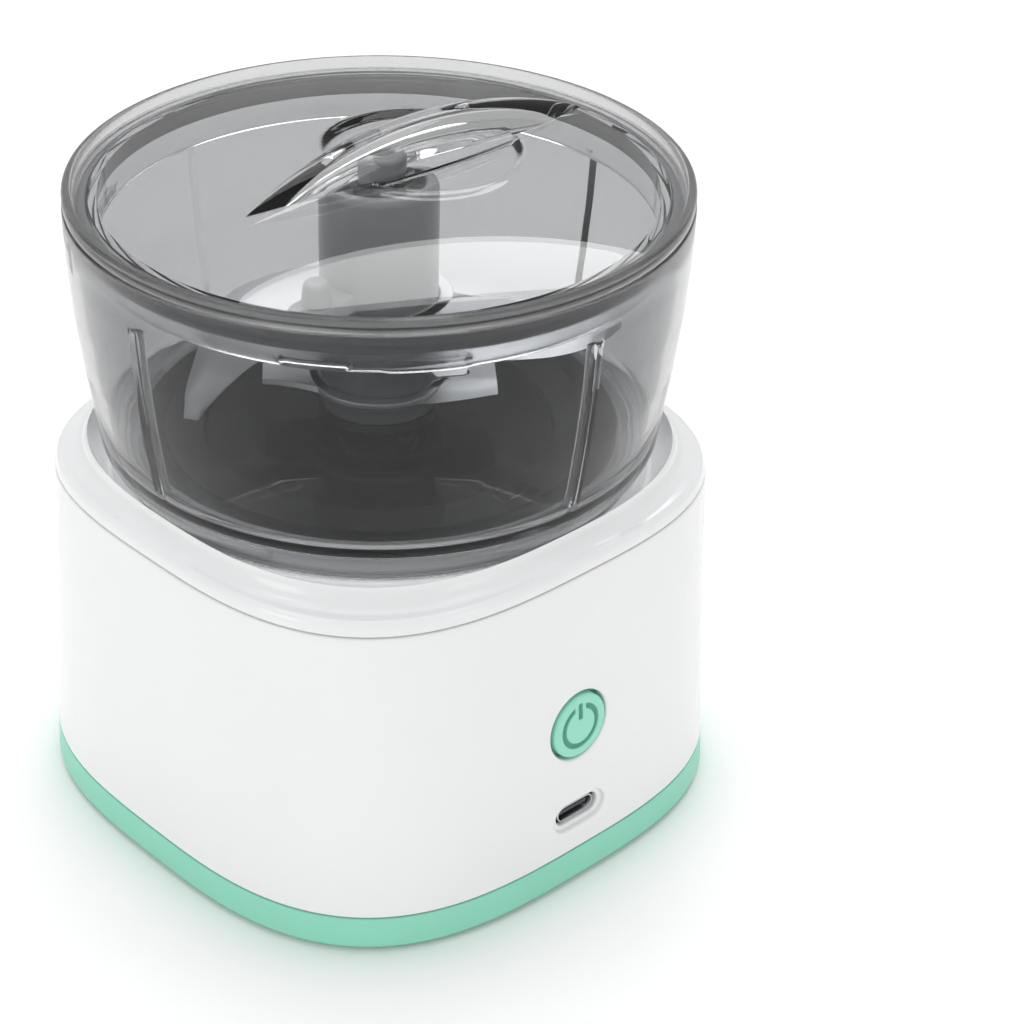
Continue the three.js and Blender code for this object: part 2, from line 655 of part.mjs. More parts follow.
// ---- bowl ----
const POST = { out: 6.4, bore: 4.5, top: 96.4, seatRadius: 7.4, seatTop: 77 };
const BOWL_OUTSIDE = [[50, 72.4], [51.1, 74.6], [52.9, 86.6], [54.8, 101.6], [55.6, BOWL_RIM]];
const BOWL_INSIDE = [[53.6, BOWL_RIM], [52.8, 101.6], [50.9, 86.6], [48.3, 77.6], [45.5, BOWL_FLOOR]];

/** Inner radius of the bowl's wall at a height. */
function bowlInnerAt(z) {
  const i = Math.max(BOWL_INSIDE.findIndex(([, height]) => height <= z), 1);
  const [r1, z1] = BOWL_INSIDE[i - 1];
  const [r2, z2] = BOWL_INSIDE[i];
  return r1 + ((r2 - r1) * (z - z1)) / (z2 - z1);
}

/** One upright inner rib, on the +X side of the wall. */
function makeBowlRib() {
  const heights = [78.5, 84, 90.6, 101.6, 110.4];
  const shape = new THREE.Shape();
  shape.moveTo(44.5, BOWL_FLOOR - 0.5);
  for (const z of heights) shape.lineTo(bowlInnerAt(z) - RIB.depth, z);
  shape.lineTo(bowlInnerAt(RIB.top) + RIB.root, RIB.top);
  for (const z of [...heights].reverse()) shape.lineTo(bowlInnerAt(z) + RIB.root, z);
  shape.lineTo(46.5, BOWL_FLOOR - 0.5);
  const geometry = new THREE.ExtrudeGeometry(shape, { depth: RIB.width, bevelEnabled: false });
  return solid(geometry.rotateX(Math.PI / 2).translate(0, RIB.width / 2, 0));
}

function makeBowl() {
  const shell = turned([
    [SKIRT_OUT, DECK_TOP + GAP], [SKIRT_OUT, 72.2], ...BOWL_OUTSIDE, ...BOWL_INSIDE,
    [9, BOWL_FLOOR], [9, 78.6], [POST.out, 79.4], [POST.out, POST.top],
    [POST.bore, POST.top], [POST.bore, POST.seatTop], [POST.seatRadius, POST.seatTop],
    [POST.seatRadius, FLOOR_UNDERSIDE], [SKIRT_IN, FLOOR_UNDERSIDE], [SKIRT_IN, DECK_TOP + GAP],
  ]);
  const ribs = QUARTERS.map((turn) => makeBowlRib().rotate([0, 0, turn]));
  const lugs = QUARTERS.map((turn) => {
    const { inner, outer, low, high, centre, half } = BOWL_LUG;
    return arcBlock(inner, outer, low, high, turn + centre - half, turn + centre + half);
  });
  const ledges = QUARTERS.map((turn) => {
    const { inner, outer, low, high, half } = LID_LEDGE;
    const centre = turn + LID_LUG.centre + LID_TURN;
    return arcBlock(inner, outer, low, high, centre - half, centre + half);
  });
  const pegs = BOWL_PEG.sides.map((side) => {
    const { inner, outer, low, arc } = BOWL_PEG;
    return arcBlock(inner, outer, low, FLOOR_UNDERSIDE + 0.6, side, side + arc);
  });
  return join(shell, ...ribs, ...lugs, ...ledges, ...pegs);
}
piece("bowl", makeBowl(), "smokeClear");
piece("bowl_bush", tube(2.8, 4.2, 79, 93.6, SMALL_SIDES), "bronze");
piece(
  "shaft_seal",
  turned([[2.8, 93.9], [4.2, 93.9], [4.2, 96.2], [3.4, 96.2], [2.8, 95.4]], SMALL_SIDES),
  "rubber",
);

// ---- spindle ----
const HEX_RADIUS = 3.3;
const HEX_LOW = 98.5;
const HEX_HIGH = 111.5;
piece(
  "spindle",
  join(rod(2.5, 74.4, 100, 0, 0, SMALL_SIDES), hexBar(HEX_RADIUS, HEX_LOW, HEX_HIGH)),
  "steel",
);
piece(
  "spindle_clip",
  cut(tube(2.8, 4.6, 96.8, 97.6, SMALL_SIDES), box([0, -1, 96], [6, 1, 98.4])),
  "steel",
);
piece(
  "driven_coupling",
  join(tube(2.8, 6.8, 74, 76.6, SMALL_SIDES), ...jaws(6.6, 70.9, 74.4, 60)),
  "innerPlastic",
);

// ---- blade unit ----
function makeHub() {
  const bore = 9.3;
  const hub = turned(
    [
      [bore, HUB_FOOT + 2.2], [HUB_RADIUS, HUB_FOOT + 2.2], [HUB_RADIUS, 81.4], [12, 82],
      [12, LOWER_BLADE_LEVEL - GAP], [HUB_RADIUS, LOWER_BLADE_LEVEL - GAP],
      [HUB_RADIUS, 96.4], [12.4, 97], [12.4, BLADE_LEVEL - GAP], [HUB_RADIUS, BLADE_LEVEL - GAP],
      [HUB_RADIUS, HUB_TOP - 1.6], [HUB_RADIUS - 1.6, HUB_TOP], [4.4, HUB_TOP],
      [4.4, 126], [3.4, 127], [0, 127], [0, 113], [7.6, 113], [7.6, 100], [bore, 98],
    ],
    28,
  );
  const socket = cut(rod(8.2, 101, 113.6, 0, 0, SMALL_SIDES), hexBar(HEX_RADIUS + 0.4, 95, 115));
  return join(hub, socket);
}
piece("blade_hub", makeHub(), "hubGrey");
piece("hub_foot_ring", tube(9.3, 10.9, HUB_FOOT, HUB_FOOT + 1.9, SMALL_SIDES), "rubber");

/** A two-winged blade: a flat ring with wings whose edges are arcs swept backwards. */
function makeBlade({ level, reach, ringOut, chord, sweep }) {
  const at = (r, angle) => [r * Math.cos(radians(angle)), r * Math.sin(radians(angle))];
  const wing = (turn) => {
    const tip = turn + sweep;
    const shape = new THREE.Shape();
    shape.moveTo(...at(ringOut - 1, turn - chord));
    shape.quadraticCurveTo(...at(reach * 0.62, turn - chord * 0.55), ...at(reach, tip));
    shape.lineTo(...at(reach - 3, tip + 5));
    shape.quadraticCurveTo(...at(reach * 0.55, turn + chord * 0.7), ...at(ringOut - 1, turn + chord));
    shape.lineTo(...at(ringOut - 1.6, turn));
    return raised(shape, level, level + BLADE_THICKNESS, 10);
  };
  const collar = tube(HUB_RADIUS + GAP, ringOut, level, level + BLADE_THICKNESS, SMALL_SIDES);
  return join(collar, wing(-62), wing(118));
}
piece("upper_blade", makeBlade(UPPER_BLADE), "steel");
piece("lower_blade", makeBlade(LOWER_BLADE), "steel");

// ---- lid ----
const GASKET = [
  [51.1, 115.4], [52.7, 115.8], [51.9, 116.6], [53, 117.6], [52, 118.6], [52.9, 119.4], [51.1, 119.9],
];
piece("lid_gasket", turned(GASKET), "rubber");

const DOME = { edge: 53.4, edgeZ: 120.9, rise: 4.6, thickness: 2, radii: [48, 40, 30, 18, 0] };
const PLUG = { outer: 50.8, inner: 49.2 };
const GRIP = { from: -30, to: 50, half: 7, wall: 1.5, crown: 1.8 };

/** Height of the dome's outside at a radius. */
const domeAt = (r) => DOME.edgeZ + DOME.rise * (1 - (r / DOME.edge) ** 2);

/** Leaf outline of the grip, shrunk inwards by an inset and raised into a block. */
function leafBlock(inset) {
  const middle = (GRIP.from + GRIP.to) / 2;
  const half = 2 * (GRIP.half - inset);
  const shape = new THREE.Shape();
  shape.moveTo(GRIP.from + 4 * inset, 0);
  shape.quadraticCurveTo(middle, -half, GRIP.to - 4 * inset, 0);
  shape.quadraticCurveTo(middle, half, GRIP.from + 4 * inset, 0);
  return raised(shape, 110, 135, 14);
}

/** The grip's side view as a wide block, lowered by a drop. */
function gripProfile(drop) {
  const middle = (GRIP.from + GRIP.to) / 2;
  const tip = (x) => domeAt(x) - drop - 0.6;
  const shape = new THREE.Shape();
  shape.moveTo(GRIP.from, 110);
  shape.lineTo(GRIP.from, tip(GRIP.from));
  shape.quadraticCurveTo(middle, 2 * (GRIP_TOP - drop) - domeAt(45) + 0.2, GRIP.to, tip(GRIP.to));
  shape.lineTo(GRIP.to, 110);
  const options = { depth: 40, bevelEnabled: false, curveSegments: 20 };
  return solid(new THREE.ExtrudeGeometry(shape, options).rotateX(Math.PI / 2).translate(0, 20, 0));
}

function makeLid() {
  const top = DOME.radii.map((r) => [r, domeAt(r)]);
  const under = [...top].reverse().map(([r, z]) => [r, z - DOME.thickness]);
  const plugTop = [PLUG.inner, domeAt(PLUG.inner) - DOME.thickness];
  const body = turned([
    ...under, plugTop, [PLUG.inner, LID_LUG.low], [PLUG.outer, LID_LUG.low],
    [PLUG.outer, BOWL_RIM + GAP], [LID_RADIUS - 0.3, BOWL_RIM + GAP], [LID_RADIUS, BOWL_RIM + 1],
    [LID_RADIUS - 0.4, LID_TOP - 0.6], [LID_RADIUS - 1.2, LID_TOP],
    [DOME.edge + 0.5, LID_TOP - 0.6], [DOME.edge, DOME.edgeZ], ...top,
  ]);
  const past = GRIP.to + 0.5; // just beyond the grip's outer tip
  const below = turned([
    [0, 100], [past, 100], [past, domeAt(past) - DOME.thickness], ...[...under].reverse(),
  ]);
  const grip = cut(leafBlock(0).intersect(gripProfile(0)), below);
  const hollow = leafBlock(GRIP.wall).intersect(gripProfile(GRIP.crown));
  const lugs = QUARTERS.map((turn) => {
    const { inner, outer, low, high, centre, half } = LID_LUG;
    return arcBlock(inner, outer, low, high, turn + centre - half, turn + centre + half);
  });
  return join(cut(join(body, grip), hollow), ...lugs);
}
piece("lid", makeLid(), "smokeClear");
piece("lid_bearing", tube(4.8, 6, HUB_TOP + GAP, 123, SMALL_SIDES), "darkSeat");

export default part;
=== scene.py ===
"""Looks of a rechargeable food processor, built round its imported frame.

Lengths in the classes are millimetres; every mesh is written in metres, in the row's own frame.
"""

import json
import logging
import math
from dataclasses import dataclass
from enum import Enum
from typing import Callable, Optional, Sequence

import bmesh
import bpy
import numpy as np
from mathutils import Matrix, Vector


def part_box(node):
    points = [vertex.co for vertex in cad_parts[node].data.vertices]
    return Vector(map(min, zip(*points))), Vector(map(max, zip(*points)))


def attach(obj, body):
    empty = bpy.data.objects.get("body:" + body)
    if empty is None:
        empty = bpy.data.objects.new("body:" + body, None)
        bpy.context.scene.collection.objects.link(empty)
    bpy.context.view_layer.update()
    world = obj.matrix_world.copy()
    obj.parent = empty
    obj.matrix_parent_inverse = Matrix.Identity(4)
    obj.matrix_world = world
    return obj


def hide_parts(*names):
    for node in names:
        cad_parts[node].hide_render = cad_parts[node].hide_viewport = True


MM = 0.001
PAINT = "paint"
QUARTERS = 90.0 * np.arange(4)

# Fineness of the surface effects, in cells per metre, and the values between which their marks show.
CLOUDS = 28.0
METAL_CLOUDS = 60.0
CLOUDED = 0.06
WIPE_TURN = (0.5, 0.3, 0.9)
WIPE_STRETCH = (40.0, 900.0, 160.0)
WIPE_RANGE = (0.66, 0.86)
WIPE_DEPTH = 0.3
WORN_RANGE = (0.51, 0.60)
WORN_PATCHES = 220.0

LOG = logging.getLogger("food_processor")
Colour = tuple[float, float, float]

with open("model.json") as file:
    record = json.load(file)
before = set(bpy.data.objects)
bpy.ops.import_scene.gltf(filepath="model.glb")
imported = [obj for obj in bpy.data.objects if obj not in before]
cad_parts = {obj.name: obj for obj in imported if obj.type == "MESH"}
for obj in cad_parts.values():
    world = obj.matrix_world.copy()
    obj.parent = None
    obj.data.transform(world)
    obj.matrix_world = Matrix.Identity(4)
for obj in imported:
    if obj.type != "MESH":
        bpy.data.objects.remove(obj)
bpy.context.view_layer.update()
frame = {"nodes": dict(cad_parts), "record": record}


class Body(Enum):
    """Bodies of the frame that the pieces ride on."""

    BASE = "base"
    BUTTON = "button"
    BOWL = "bowl_body"
    ROTOR = "rotor"
    LID = "lid_body"
    SEAL = "lid_seal"


class Slot(Enum):
    """Material slots of the record."""

    WHITE = "white_gloss"
    MINT = "mint_shell"
    MINT_BUTTON = "mint_button"
    SMOKE = "smoke_clear"
    SEAT = "dark_seat"
    HUB = "hub_grey"
    RUBBER = "rubber"
    SCREW = "screw_steel"
    BLADE = "blade_steel"
    TURNED = "machined_steel"
    PLATED = "plated_steel"
    BRONZE = "bronze"
    INNER = "inner_plastic"
    BOARD = "circuit"
    WRAP = "cell_wrap"
    RED = "red_wire"
    BLACK = "black_wire"


class Outline(Enum):
    """Outlines of a flat light."""

    BOX = "RECTANGLE"
    OVAL = "ELLIPSE"


# ---------------------------------------------------------------- surfaces


def span(node: str) -> tuple[np.ndarray, np.ndarray]:
    """Lowest and highest corners of a CAD node.

    Args:
        node: The node's name.

    Returns:
        Both corners, in millimetres.
    """
    low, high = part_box(node)
    return np.array(low) / MM, np.array(high) / MM


def smooth(low: float, high: float, value: np.ndarray) -> np.ndarray:
    """Smooth step: 0 below low, 1 above high, and 3t^2 - 2t^3 of the share t of the way between them.

    Args:
        low: Where the step starts.
        high: Where it ends.
        value: Values to place on it.

    Returns:
        A share from 0 to 1 for each value.
    """
    t = np.clip((value - low) / (high - low), 0.0, 1.0)
    return t * t * (3.0 - 2.0 * t)


def plateau(low: float, high: float, soft: float, value: np.ndarray) -> np.ndarray:
    """A step up and a step down: 1 in the middle of low..high, with smooth sides.

    Args:
        low: Where it leaves 0.
        high: Where it is 0 again.
        soft: Length of each side.
        value: Values to place on it.

    Returns:
        A share from 0 to 1 for each value.
    """
    return smooth(low, low + soft, value) * (1.0 - smooth(high - soft, high, value))


@dataclass(frozen=True)
class Corner:
    """One corner of a profile: how far out, how high, its fillet, its plan's exponent and its run's tag."""

    out: float
    up: float
    fillet: float = 0.0
    square: float = 2.0
    tag: str = ""


@dataclass
class Profile:
    """A profile with rounded corners, cut into short steps.

    Each fillet is the arc tangent to both sides of its corner. Straight stretches are cut into steps of
    at most `step` millimetres, and the plan's exponent runs linearly between corners.
    """

    corners: Sequence[Corner]
    step: float = 1.5
    arc_steps: int = 6
    closed: bool = True

    def points(self) -> tuple[np.ndarray, np.ndarray]:
        """Works out the profile.

        Returns:
            An array of (out, up, exponent) rows, and the tag of each row.
        """
        corners = list(self.corners)
        count = len(corners)
        rows: list[np.ndarray] = []
        tags: list[str] = []
        for i, corner in enumerate(corners):
            here = np.array([corner.out, corner.up])
            before = corners[i - 1] if i or self.closed else None
            after = corners[(i + 1) % count] if i + 1 < count or self.closed else None
            if corner.fillet and before and after:
                a = np.array([before.out, before.up]) - here
                b = np.array([after.out, after.up]) - here
                a, b = a / np.linalg.norm(a), b / np.linalg.norm(b)
                half = 0.5 * math.acos(float(np.clip(a @ b, -1.0, 1.0)))
                back = corner.fillet / math.tan(half)
                centre = here + (a + b) / np.linalg.norm(a + b) * corner.fillet / math.sin(half)
                first, last = here + a * back - centre, here + b * back - centre
                turn = math.pi - 2.0 * half
                t = np.linspace(0.0, 1.0, self.arc_steps + 1)[:, None]
                arc = (np.sin((1 - t) * turn) * first + np.sin(t * turn) * last) / math.sin(turn) + centre
            else:
                arc = here[None, :]
            block = np.hstack([arc, np.full((len(arc), 1), corner.square)])
            rows.append(block)
            tags.append(corner.tag)
        stretches: list[np.ndarray] = []
        names: list[str] = []
        for i, block in enumerate(rows):
            stretches.append(block)
            names += [tags[i]] * len(block)
            if i + 1 == count and not self.closed:
                break
            nxt = rows[(i + 1) % count][0]
            length = float(np.linalg.norm(nxt[:2] - block[-1][:2]))
            cuts = max(1, math.ceil(length / self.step))
            t = np.linspace(0.0, 1.0, cuts + 1)[1:-1, None]
            if len(t):
                stretches.append(block[-1] * (1 - t) + nxt * t)
                names += [tags[i]] * len(t)
        return np.vstack(stretches), np.array(names)


def around(count: int) -> np.ndarray:
    """Evenly spaced angles of one turn."""
    return np.linspace(0.0, 2.0 * math.pi, count, endpoint=False)


def plan(half: np.ndarray, square: np.ndarray, angle: np.ndarray) -> tuple[np.ndarray, np.ndarray]:
    """Points of a superellipse in the directions of angles: |x|^n + |y|^n = half^n.

    Args:
        half: Half width on the axes.
        square: The exponent n: 2 is a circle, 3 a rounded square.
        angle: Directions, in radians.

    Returns:
        x and y of the points.
    """
    c, s = np.cos(angle), np.sin(angle)
    reach = half / (np.abs(c) ** square + np.abs(s) ** square) ** (1.0 / square)
    return reach * c, reach * s


def revolve(rows: np.ndarray, angle: np.ndarray) -> np.ndarray:
    """Carries a profile round Z: each row becomes a ring, a superellipse of the row's own exponent.

    Args:
        rows: Profile rows (out, up, exponent).
        angle: Angles of the columns, in radians.

    Returns:
        Grid of rows by columns by 3.
    """
    x, y = plan(rows[:, None, 0], rows[:, None, 2], angle[None, :])
    z = np.broadcast_to(rows[:, None, 1], x.shape)
    return np.stack([x, y, z], axis=-1)


class Skin:
    """Gathers grids of points into one mesh object with closed seams and outward faces."""

    def __init__(self, name: str) -> None:
        """Starts an empty skin of that name."""
        self.name = name
        self.points: list[np.ndarray] = []
        self.quads: list[np.ndarray] = []
        self.paints: list[np.ndarray] = []
        self.count = 0

    def grid(self, points: np.ndarray, wrap: bool = True, close: bool = False,
             keep: Optional[np.ndarray] = None, paint: Optional[np.ndarray] = None) -> "Skin":
        """Adds a grid of points, in millimetres.

        Args:
            points: Array of rows by columns by 3.
            wrap: Joins the last column to the first.
            close: Joins the last row to the first.
            keep: Mask of the faces to keep, rows by columns.
            paint: Share of the finish's second tone at each point, rows by columns.

        Returns:
            The skin itself, so calls can be chained.
        """
        rows, columns = points.shape[:2]
        index = np.arange(rows * columns).reshape(rows, columns) + self.count
        if close:
            index = np.vstack([index, index[:1]])
        if wrap:
            index = np.hstack([index, index[:, :1]])
        corners = [index[:-1, :-1], index[:-1, 1:], index[1:, 1:], index[1:, :-1]]
        quads = np.stack(corners, axis=-1)
        self.quads.append(quads[keep] if keep is not None else quads.reshape(-1, 4))
        self.points.append(points.reshape(-1, 3))
        self.paints.append(np.zeros(rows * columns) if paint is None else paint.reshape(-1))
        self.count += rows * columns
        return self

    def piece(self, body: Body, slot: Slot, finish: "Finish", replaces: Sequence[str] = (),
              sharp: float = 40.0, merge: float = 2e-6) -> bpy.types.Object:
        """Makes the mesh object, dresses it and lets it ride on its body.

        Args:
            body: Body that it moves with.
            slot: Its material slot; not used.
            finish: Its finish.
            replaces: CAD nodes that it stands for.
            sharp: Angle in degrees above which an edge stays crisp.
            merge: Distance in metres under which points are one.

        Returns:
            The new object.
        """
        mesh = bpy.data.meshes.new(self.name)
        points = np.vstack(self.points) * MM
        quads = np.vstack(self.quads)
        mesh.vertices.add(len(points))
        mesh.vertices.foreach_set("co", points.astype(np.float32).ravel())
        mesh.loops.add(quads.size)
        mesh.loops.foreach_set("vertex_index", quads.astype(np.int32).ravel())
        mesh.polygons.add(len(quads))
        mesh.polygons.foreach_set("loop_start", np.arange(0, quads.size, 4, dtype=np.int32))
        mesh.update(calc_edges=True)
        mesh.attributes.new(PAINT, "FLOAT", "POINT").data.foreach_set(
            "value", np.concatenate(self.paints).astype(np.float32))
        mesh.validate()
        work = bmesh.new()
        work.from_mesh(mesh)
        bmesh.ops.remove_doubles(work, verts=work.verts, dist=merge)
        bmesh.ops.dissolve_degenerate(work, edges=work.edges, dist=merge * 0.5)
        bmesh.ops.recalc_face_normals(work, faces=work.faces)
        work.to_mesh(mesh)
        work.free()
        mesh.shade_smooth()
        mesh.set_sharp_from_angle(angle=math.radians(sharp))
        made = bpy.data.objects.new(self.name, mesh)
        bpy.context.scene.collection.objects.link(made)
        made.data.materials.append(finish.material())
        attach(made, body.value)
        if replaces:
            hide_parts(*replaces)
        LOG.info("%s: %d faces on %s", self.name, len(mesh.polygons), body.value)
        return made


# ---------------------------------------------------------------- finishes


class Graph:
    """A node tree with short calls for adding and linking nodes."""

    def __init__(self, tree: bpy.types.NodeTree) -> None:
        """Wraps a node tree."""
        self.tree = tree

    def node(self, kind: str, **settings: object) -> bpy.types.Node:
        """Adds a node.

        Args:
            kind: Its Blender type.
            **settings: Properties to set on it.

        Returns:
            The node.
        """
        made = self.tree.nodes.new(kind)
        for key, value in settings.items():
            setattr(made, key, value)
        return made

    def feed(self, target: bpy.types.NodeSocket, source: object) -> None:
        """Links a socket to a target, or sets the target to a plain value.

        Args:
            target: Input socket.
            source: Output socket or plain value.
        """
        if isinstance(source, bpy.types.NodeSocket):
            self.tree.links.new(source, target)
        else:
            target.default_value = source

    def math(self, operation: str, *values: object) -> bpy.types.NodeSocket:
        """Adds a Math node.

        Args:
            operation: What it works out.
            *values: Its sockets or plain values, in order.

        Returns:
            Its result.
        """
        made = self.node("ShaderNodeMath", operation=operation)
        for socket, value in zip(made.inputs, values):
            self.feed(socket, value)
        return made.outputs[0]

    def span(self, value: object, low: object, high: object) -> bpy.types.NodeSocket:
        """Maps 0..1 onto low..high.

        Args:
            value: Share from 0 to 1.
            low: Result at 0.
            high: Result at 1.

        Returns:
            The mapped value.
        """
        made = self.node("ShaderNodeMapRange")
        for name, source in (("Value", value), ("To Min", low), ("To Max", high)):
            self.feed(made.inputs[name], source)
        return made.outputs["Result"]

    def mix(self, factor: object, first: object, second: object) -> bpy.types.NodeSocket:
        """Mixes two colours.

        Args:
            factor: Share of the second one.
            first: The first colour.
            second: The second colour.

        Returns:
            The mixed colour.
        """
        made = self.node("ShaderNodeMix", data_type="RGBA")
        self.feed(made.inputs[0], factor)
        self.feed(made.inputs[6], first)
        self.feed(made.inputs[7], second)
        return made.outputs[2]

    def noise(self, vector: object, scale: object, detail: float = 3.0,
              roughness: float = 0.55) -> bpy.types.NodeSocket:
        """Adds a Noise Texture.

        Args:
            vector: Where it is read.
            scale: Its fineness, in cells per metre.
            detail: Octaves of finer noise.
            roughness: Weight of those octaves.

        Returns:
            Its value, from 0 to 1.
        """
        made = self.node("ShaderNodeTexNoise")
        self.feed(made.inputs["Vector"], vector)
        self.feed(made.inputs["Scale"], scale)
        self.feed(made.inputs["Detail"], detail)
        self.feed(made.inputs["Roughness"], roughness)
        return made.outputs["Fac"]

    def range(self, value: object, start: float, stop: float) -> bpy.types.NodeSocket:
        """A smooth step of a value.

        Args:
            value: The value.
            start: Where the step starts.
            stop: Where it ends.

        Returns:
            The share, from 0 to 1.
        """
        made = self.node("ShaderNodeMapRange", interpolation_type="SMOOTHSTEP")
        self.feed(made.inputs["Value"], value)
        made.inputs["From Min"].default_value = start
        made.inputs["From Max"].default_value = stop
        return made.outputs["Result"]

    def place(self, tree: bpy.types.NodeTree, values: dict[str, object]) -> bpy.types.Node:
        """Places a node group with its own values.

        Args:
            tree: The group.
            values: Value of each input that differs from the group's default.

        Returns:
            The group's node.
        """
        made = self.node("ShaderNodeGroup", node_tree=tree)
        for name, value in values.items():
            made.inputs[name].default_value = value
        return made

    def relief(self, shader: bpy.types.Node, height: bpy.types.NodeSocket, strength: float,
               depth: float) -> None:
        """Raises a shader's surface by a height, through a Bump node.

        Args:
            shader: The Principled shader.
            height: Height from 0 to 1.
            strength: Share of the effect.
            depth: How high 1 stands, in metres.
        """
        bump = self.node("ShaderNodeBump")
        bump.inputs["Strength"].default_value = strength
        bump.inputs["Distance"].default_value = depth
        self.feed(bump.inputs["Height"], height)
        self.feed(shader.inputs["Normal"], bump.outputs["Normal"])


def group(name: str, inputs: Sequence[tuple[str, str, object]], outputs: Sequence[tuple[str, str]],
          build: Callable[[Graph, bpy.types.Node, bpy.types.Node], None]) -> bpy.types.NodeTree:
    """A shader node group, built once.

    Args:
        name: The group's name.
        inputs: Name, socket type and default of each input.
        outputs: Name and socket type of each output.
        build: Fills the group from its input and output nodes.

    Returns:
        The node group.
    """
    if name in bpy.data.node_groups:
        return bpy.data.node_groups[name]
    tree = bpy.data.node_groups.new(name, "ShaderNodeTree")
    for label, kind, value in inputs:
        socket = tree.interface.new_socket(label, in_out="INPUT", socket_type=kind)
        socket.default_value = value
    for label, kind in outputs:
        tree.interface.new_socket(label, in_out="OUTPUT", socket_type=kind)
    graph = Graph(tree)
    build(graph, graph.node("NodeGroupInput"), graph.node("NodeGroupOutput"))
    return tree


def moulded_skin() -> bpy.types.NodeTree:
    """Moulded plastic: slow clouding, a fine skin texture and faint wipe marks.

    Returns:
        The node group.
    """

    def build(graph: Graph, given: bpy.types.Node, put: bpy.types.Node) -> None:
        """Adds the nodes.

        Args:
            graph: The group's tree.
            given: Its input node.
            put: Its output node.
        """
        place = graph.node("ShaderNodeTexCoord").outputs["Object"]
        cloud = graph.noise(place, CLOUDS, 2.0)
        fine = graph.noise(place, given.outputs["Grain Scale"], 2.0, 0.6)
        stretch = graph.node("ShaderNodeMapping")
        graph.feed(stretch.inputs["Vector"], place)
        stretch.inputs["Rotation"].default_value = WIPE_TURN
        stretch.inputs["Scale"].default_value = WIPE_STRETCH
        streak = graph.noise(stretch.outputs["Vector"], 1.0, 2.0, 0.7)
        marks = graph.range(streak, *WIPE_RANGE)
        wiped = graph.math("MULTIPLY", marks, given.outputs["Wipe"])
        rough = graph.span(cloud, given.outputs["Rough Low"], given.outputs["Rough High"])
        graph.feed(put.inputs["Roughness"], graph.math("ADD", rough, wiped))
        scratched = graph.math("MULTIPLY", marks, -WIPE_DEPTH)
        graph.feed(put.inputs["Height"], graph.math("ADD", fine, scratched))
        graph.feed(put.inputs["Cloud"], cloud)

    inputs = [("Grain Scale", "NodeSocketFloat", 1800.0), ("Rough Low", "NodeSocketFloat", 0.2),
              ("Rough High", "NodeSocketFloat", 0.3), ("Wipe", "NodeSocketFloat", 0.06)]
    outputs = [("Roughness", "NodeSocketFloat"), ("Height", "NodeSocketFloat"), ("Cloud", "NodeSocketFloat")]
    return group("moulded_skin", inputs, outputs, build)


def edge_wear() -> bpy.types.NodeTree:
    """Mask that rises on raised edges, broken up by noise.

    Returns:
        The node group.
    """

    def build(graph: Graph, given: bpy.types.Node, put: bpy.types.Node) -> None:
        """Adds the nodes.

        Args:
            graph: The group's tree.
            given: Its input node.
            put: Its output node.
        """
        point = graph.node("ShaderNodeNewGeometry").outputs["Pointiness"]
        rise = graph.range(point, *WORN_RANGE)
        place = graph.node("ShaderNodeTexCoord").outputs["Object"]
        patch = graph.noise(place, WORN_PATCHES, 3.0, 0.7)
        broken = graph.math("MULTIPLY", rise, patch)
        graph.feed(put.inputs["Mask"], graph.math("MULTIPLY", broken, given.outputs["Amount"]))

    return group("edge_wear", [("Amount", "NodeSocketFloat", 0.5)], [("Mask", "NodeSocketFloat")], build)


def brushed_metal() -> bpy.types.NodeTree:
    """Fine straight grinding lines with a value for roughness and one for height.

    Returns:
        The node group.
    """

    def build(graph: Graph, given: bpy.types.Node, put: bpy.types.Node) -> None:
        """Adds the nodes.

        Args:
            graph: The group's tree.
            given: Its input node.
            put: Its output node.
        """
        place = graph.node("ShaderNodeTexCoord").outputs["Object"]
        stretch = graph.node("ShaderNodeMapping")
        graph.feed(stretch.inputs["Vector"], place)
        graph.feed(stretch.inputs["Scale"], given.outputs["Stretch"])
        lines = graph.noise(stretch.outputs["Vector"], 1.0, 3.0, 0.6)
        cloud = graph.noise(place, METAL_CLOUDS, 2.0)
        rough = graph.span(lines, given.outputs["Rough Low"], given.outputs["Rough High"])
        graph.feed(put.inputs["Roughness"], graph.math("ADD", rough, graph.math("MULTIPLY", cloud, CLOUDED)))
        graph.feed(put.inputs["Height"], lines)
        graph.feed(put.inputs["Cloud"], cloud)

    inputs = [("Stretch", "NodeSocketVector", (3000.0, 120.0, 120.0)),
              ("Rough Low", "NodeSocketFloat", 0.16), ("Rough High", "NodeSocketFloat", 0.34)]
    outputs = [("Roughness", "NodeSocketFloat"), ("Height", "NodeSocketFloat"), ("Cloud", "NodeSocketFloat")]
    return group("brushed_metal", inputs, outputs, build)


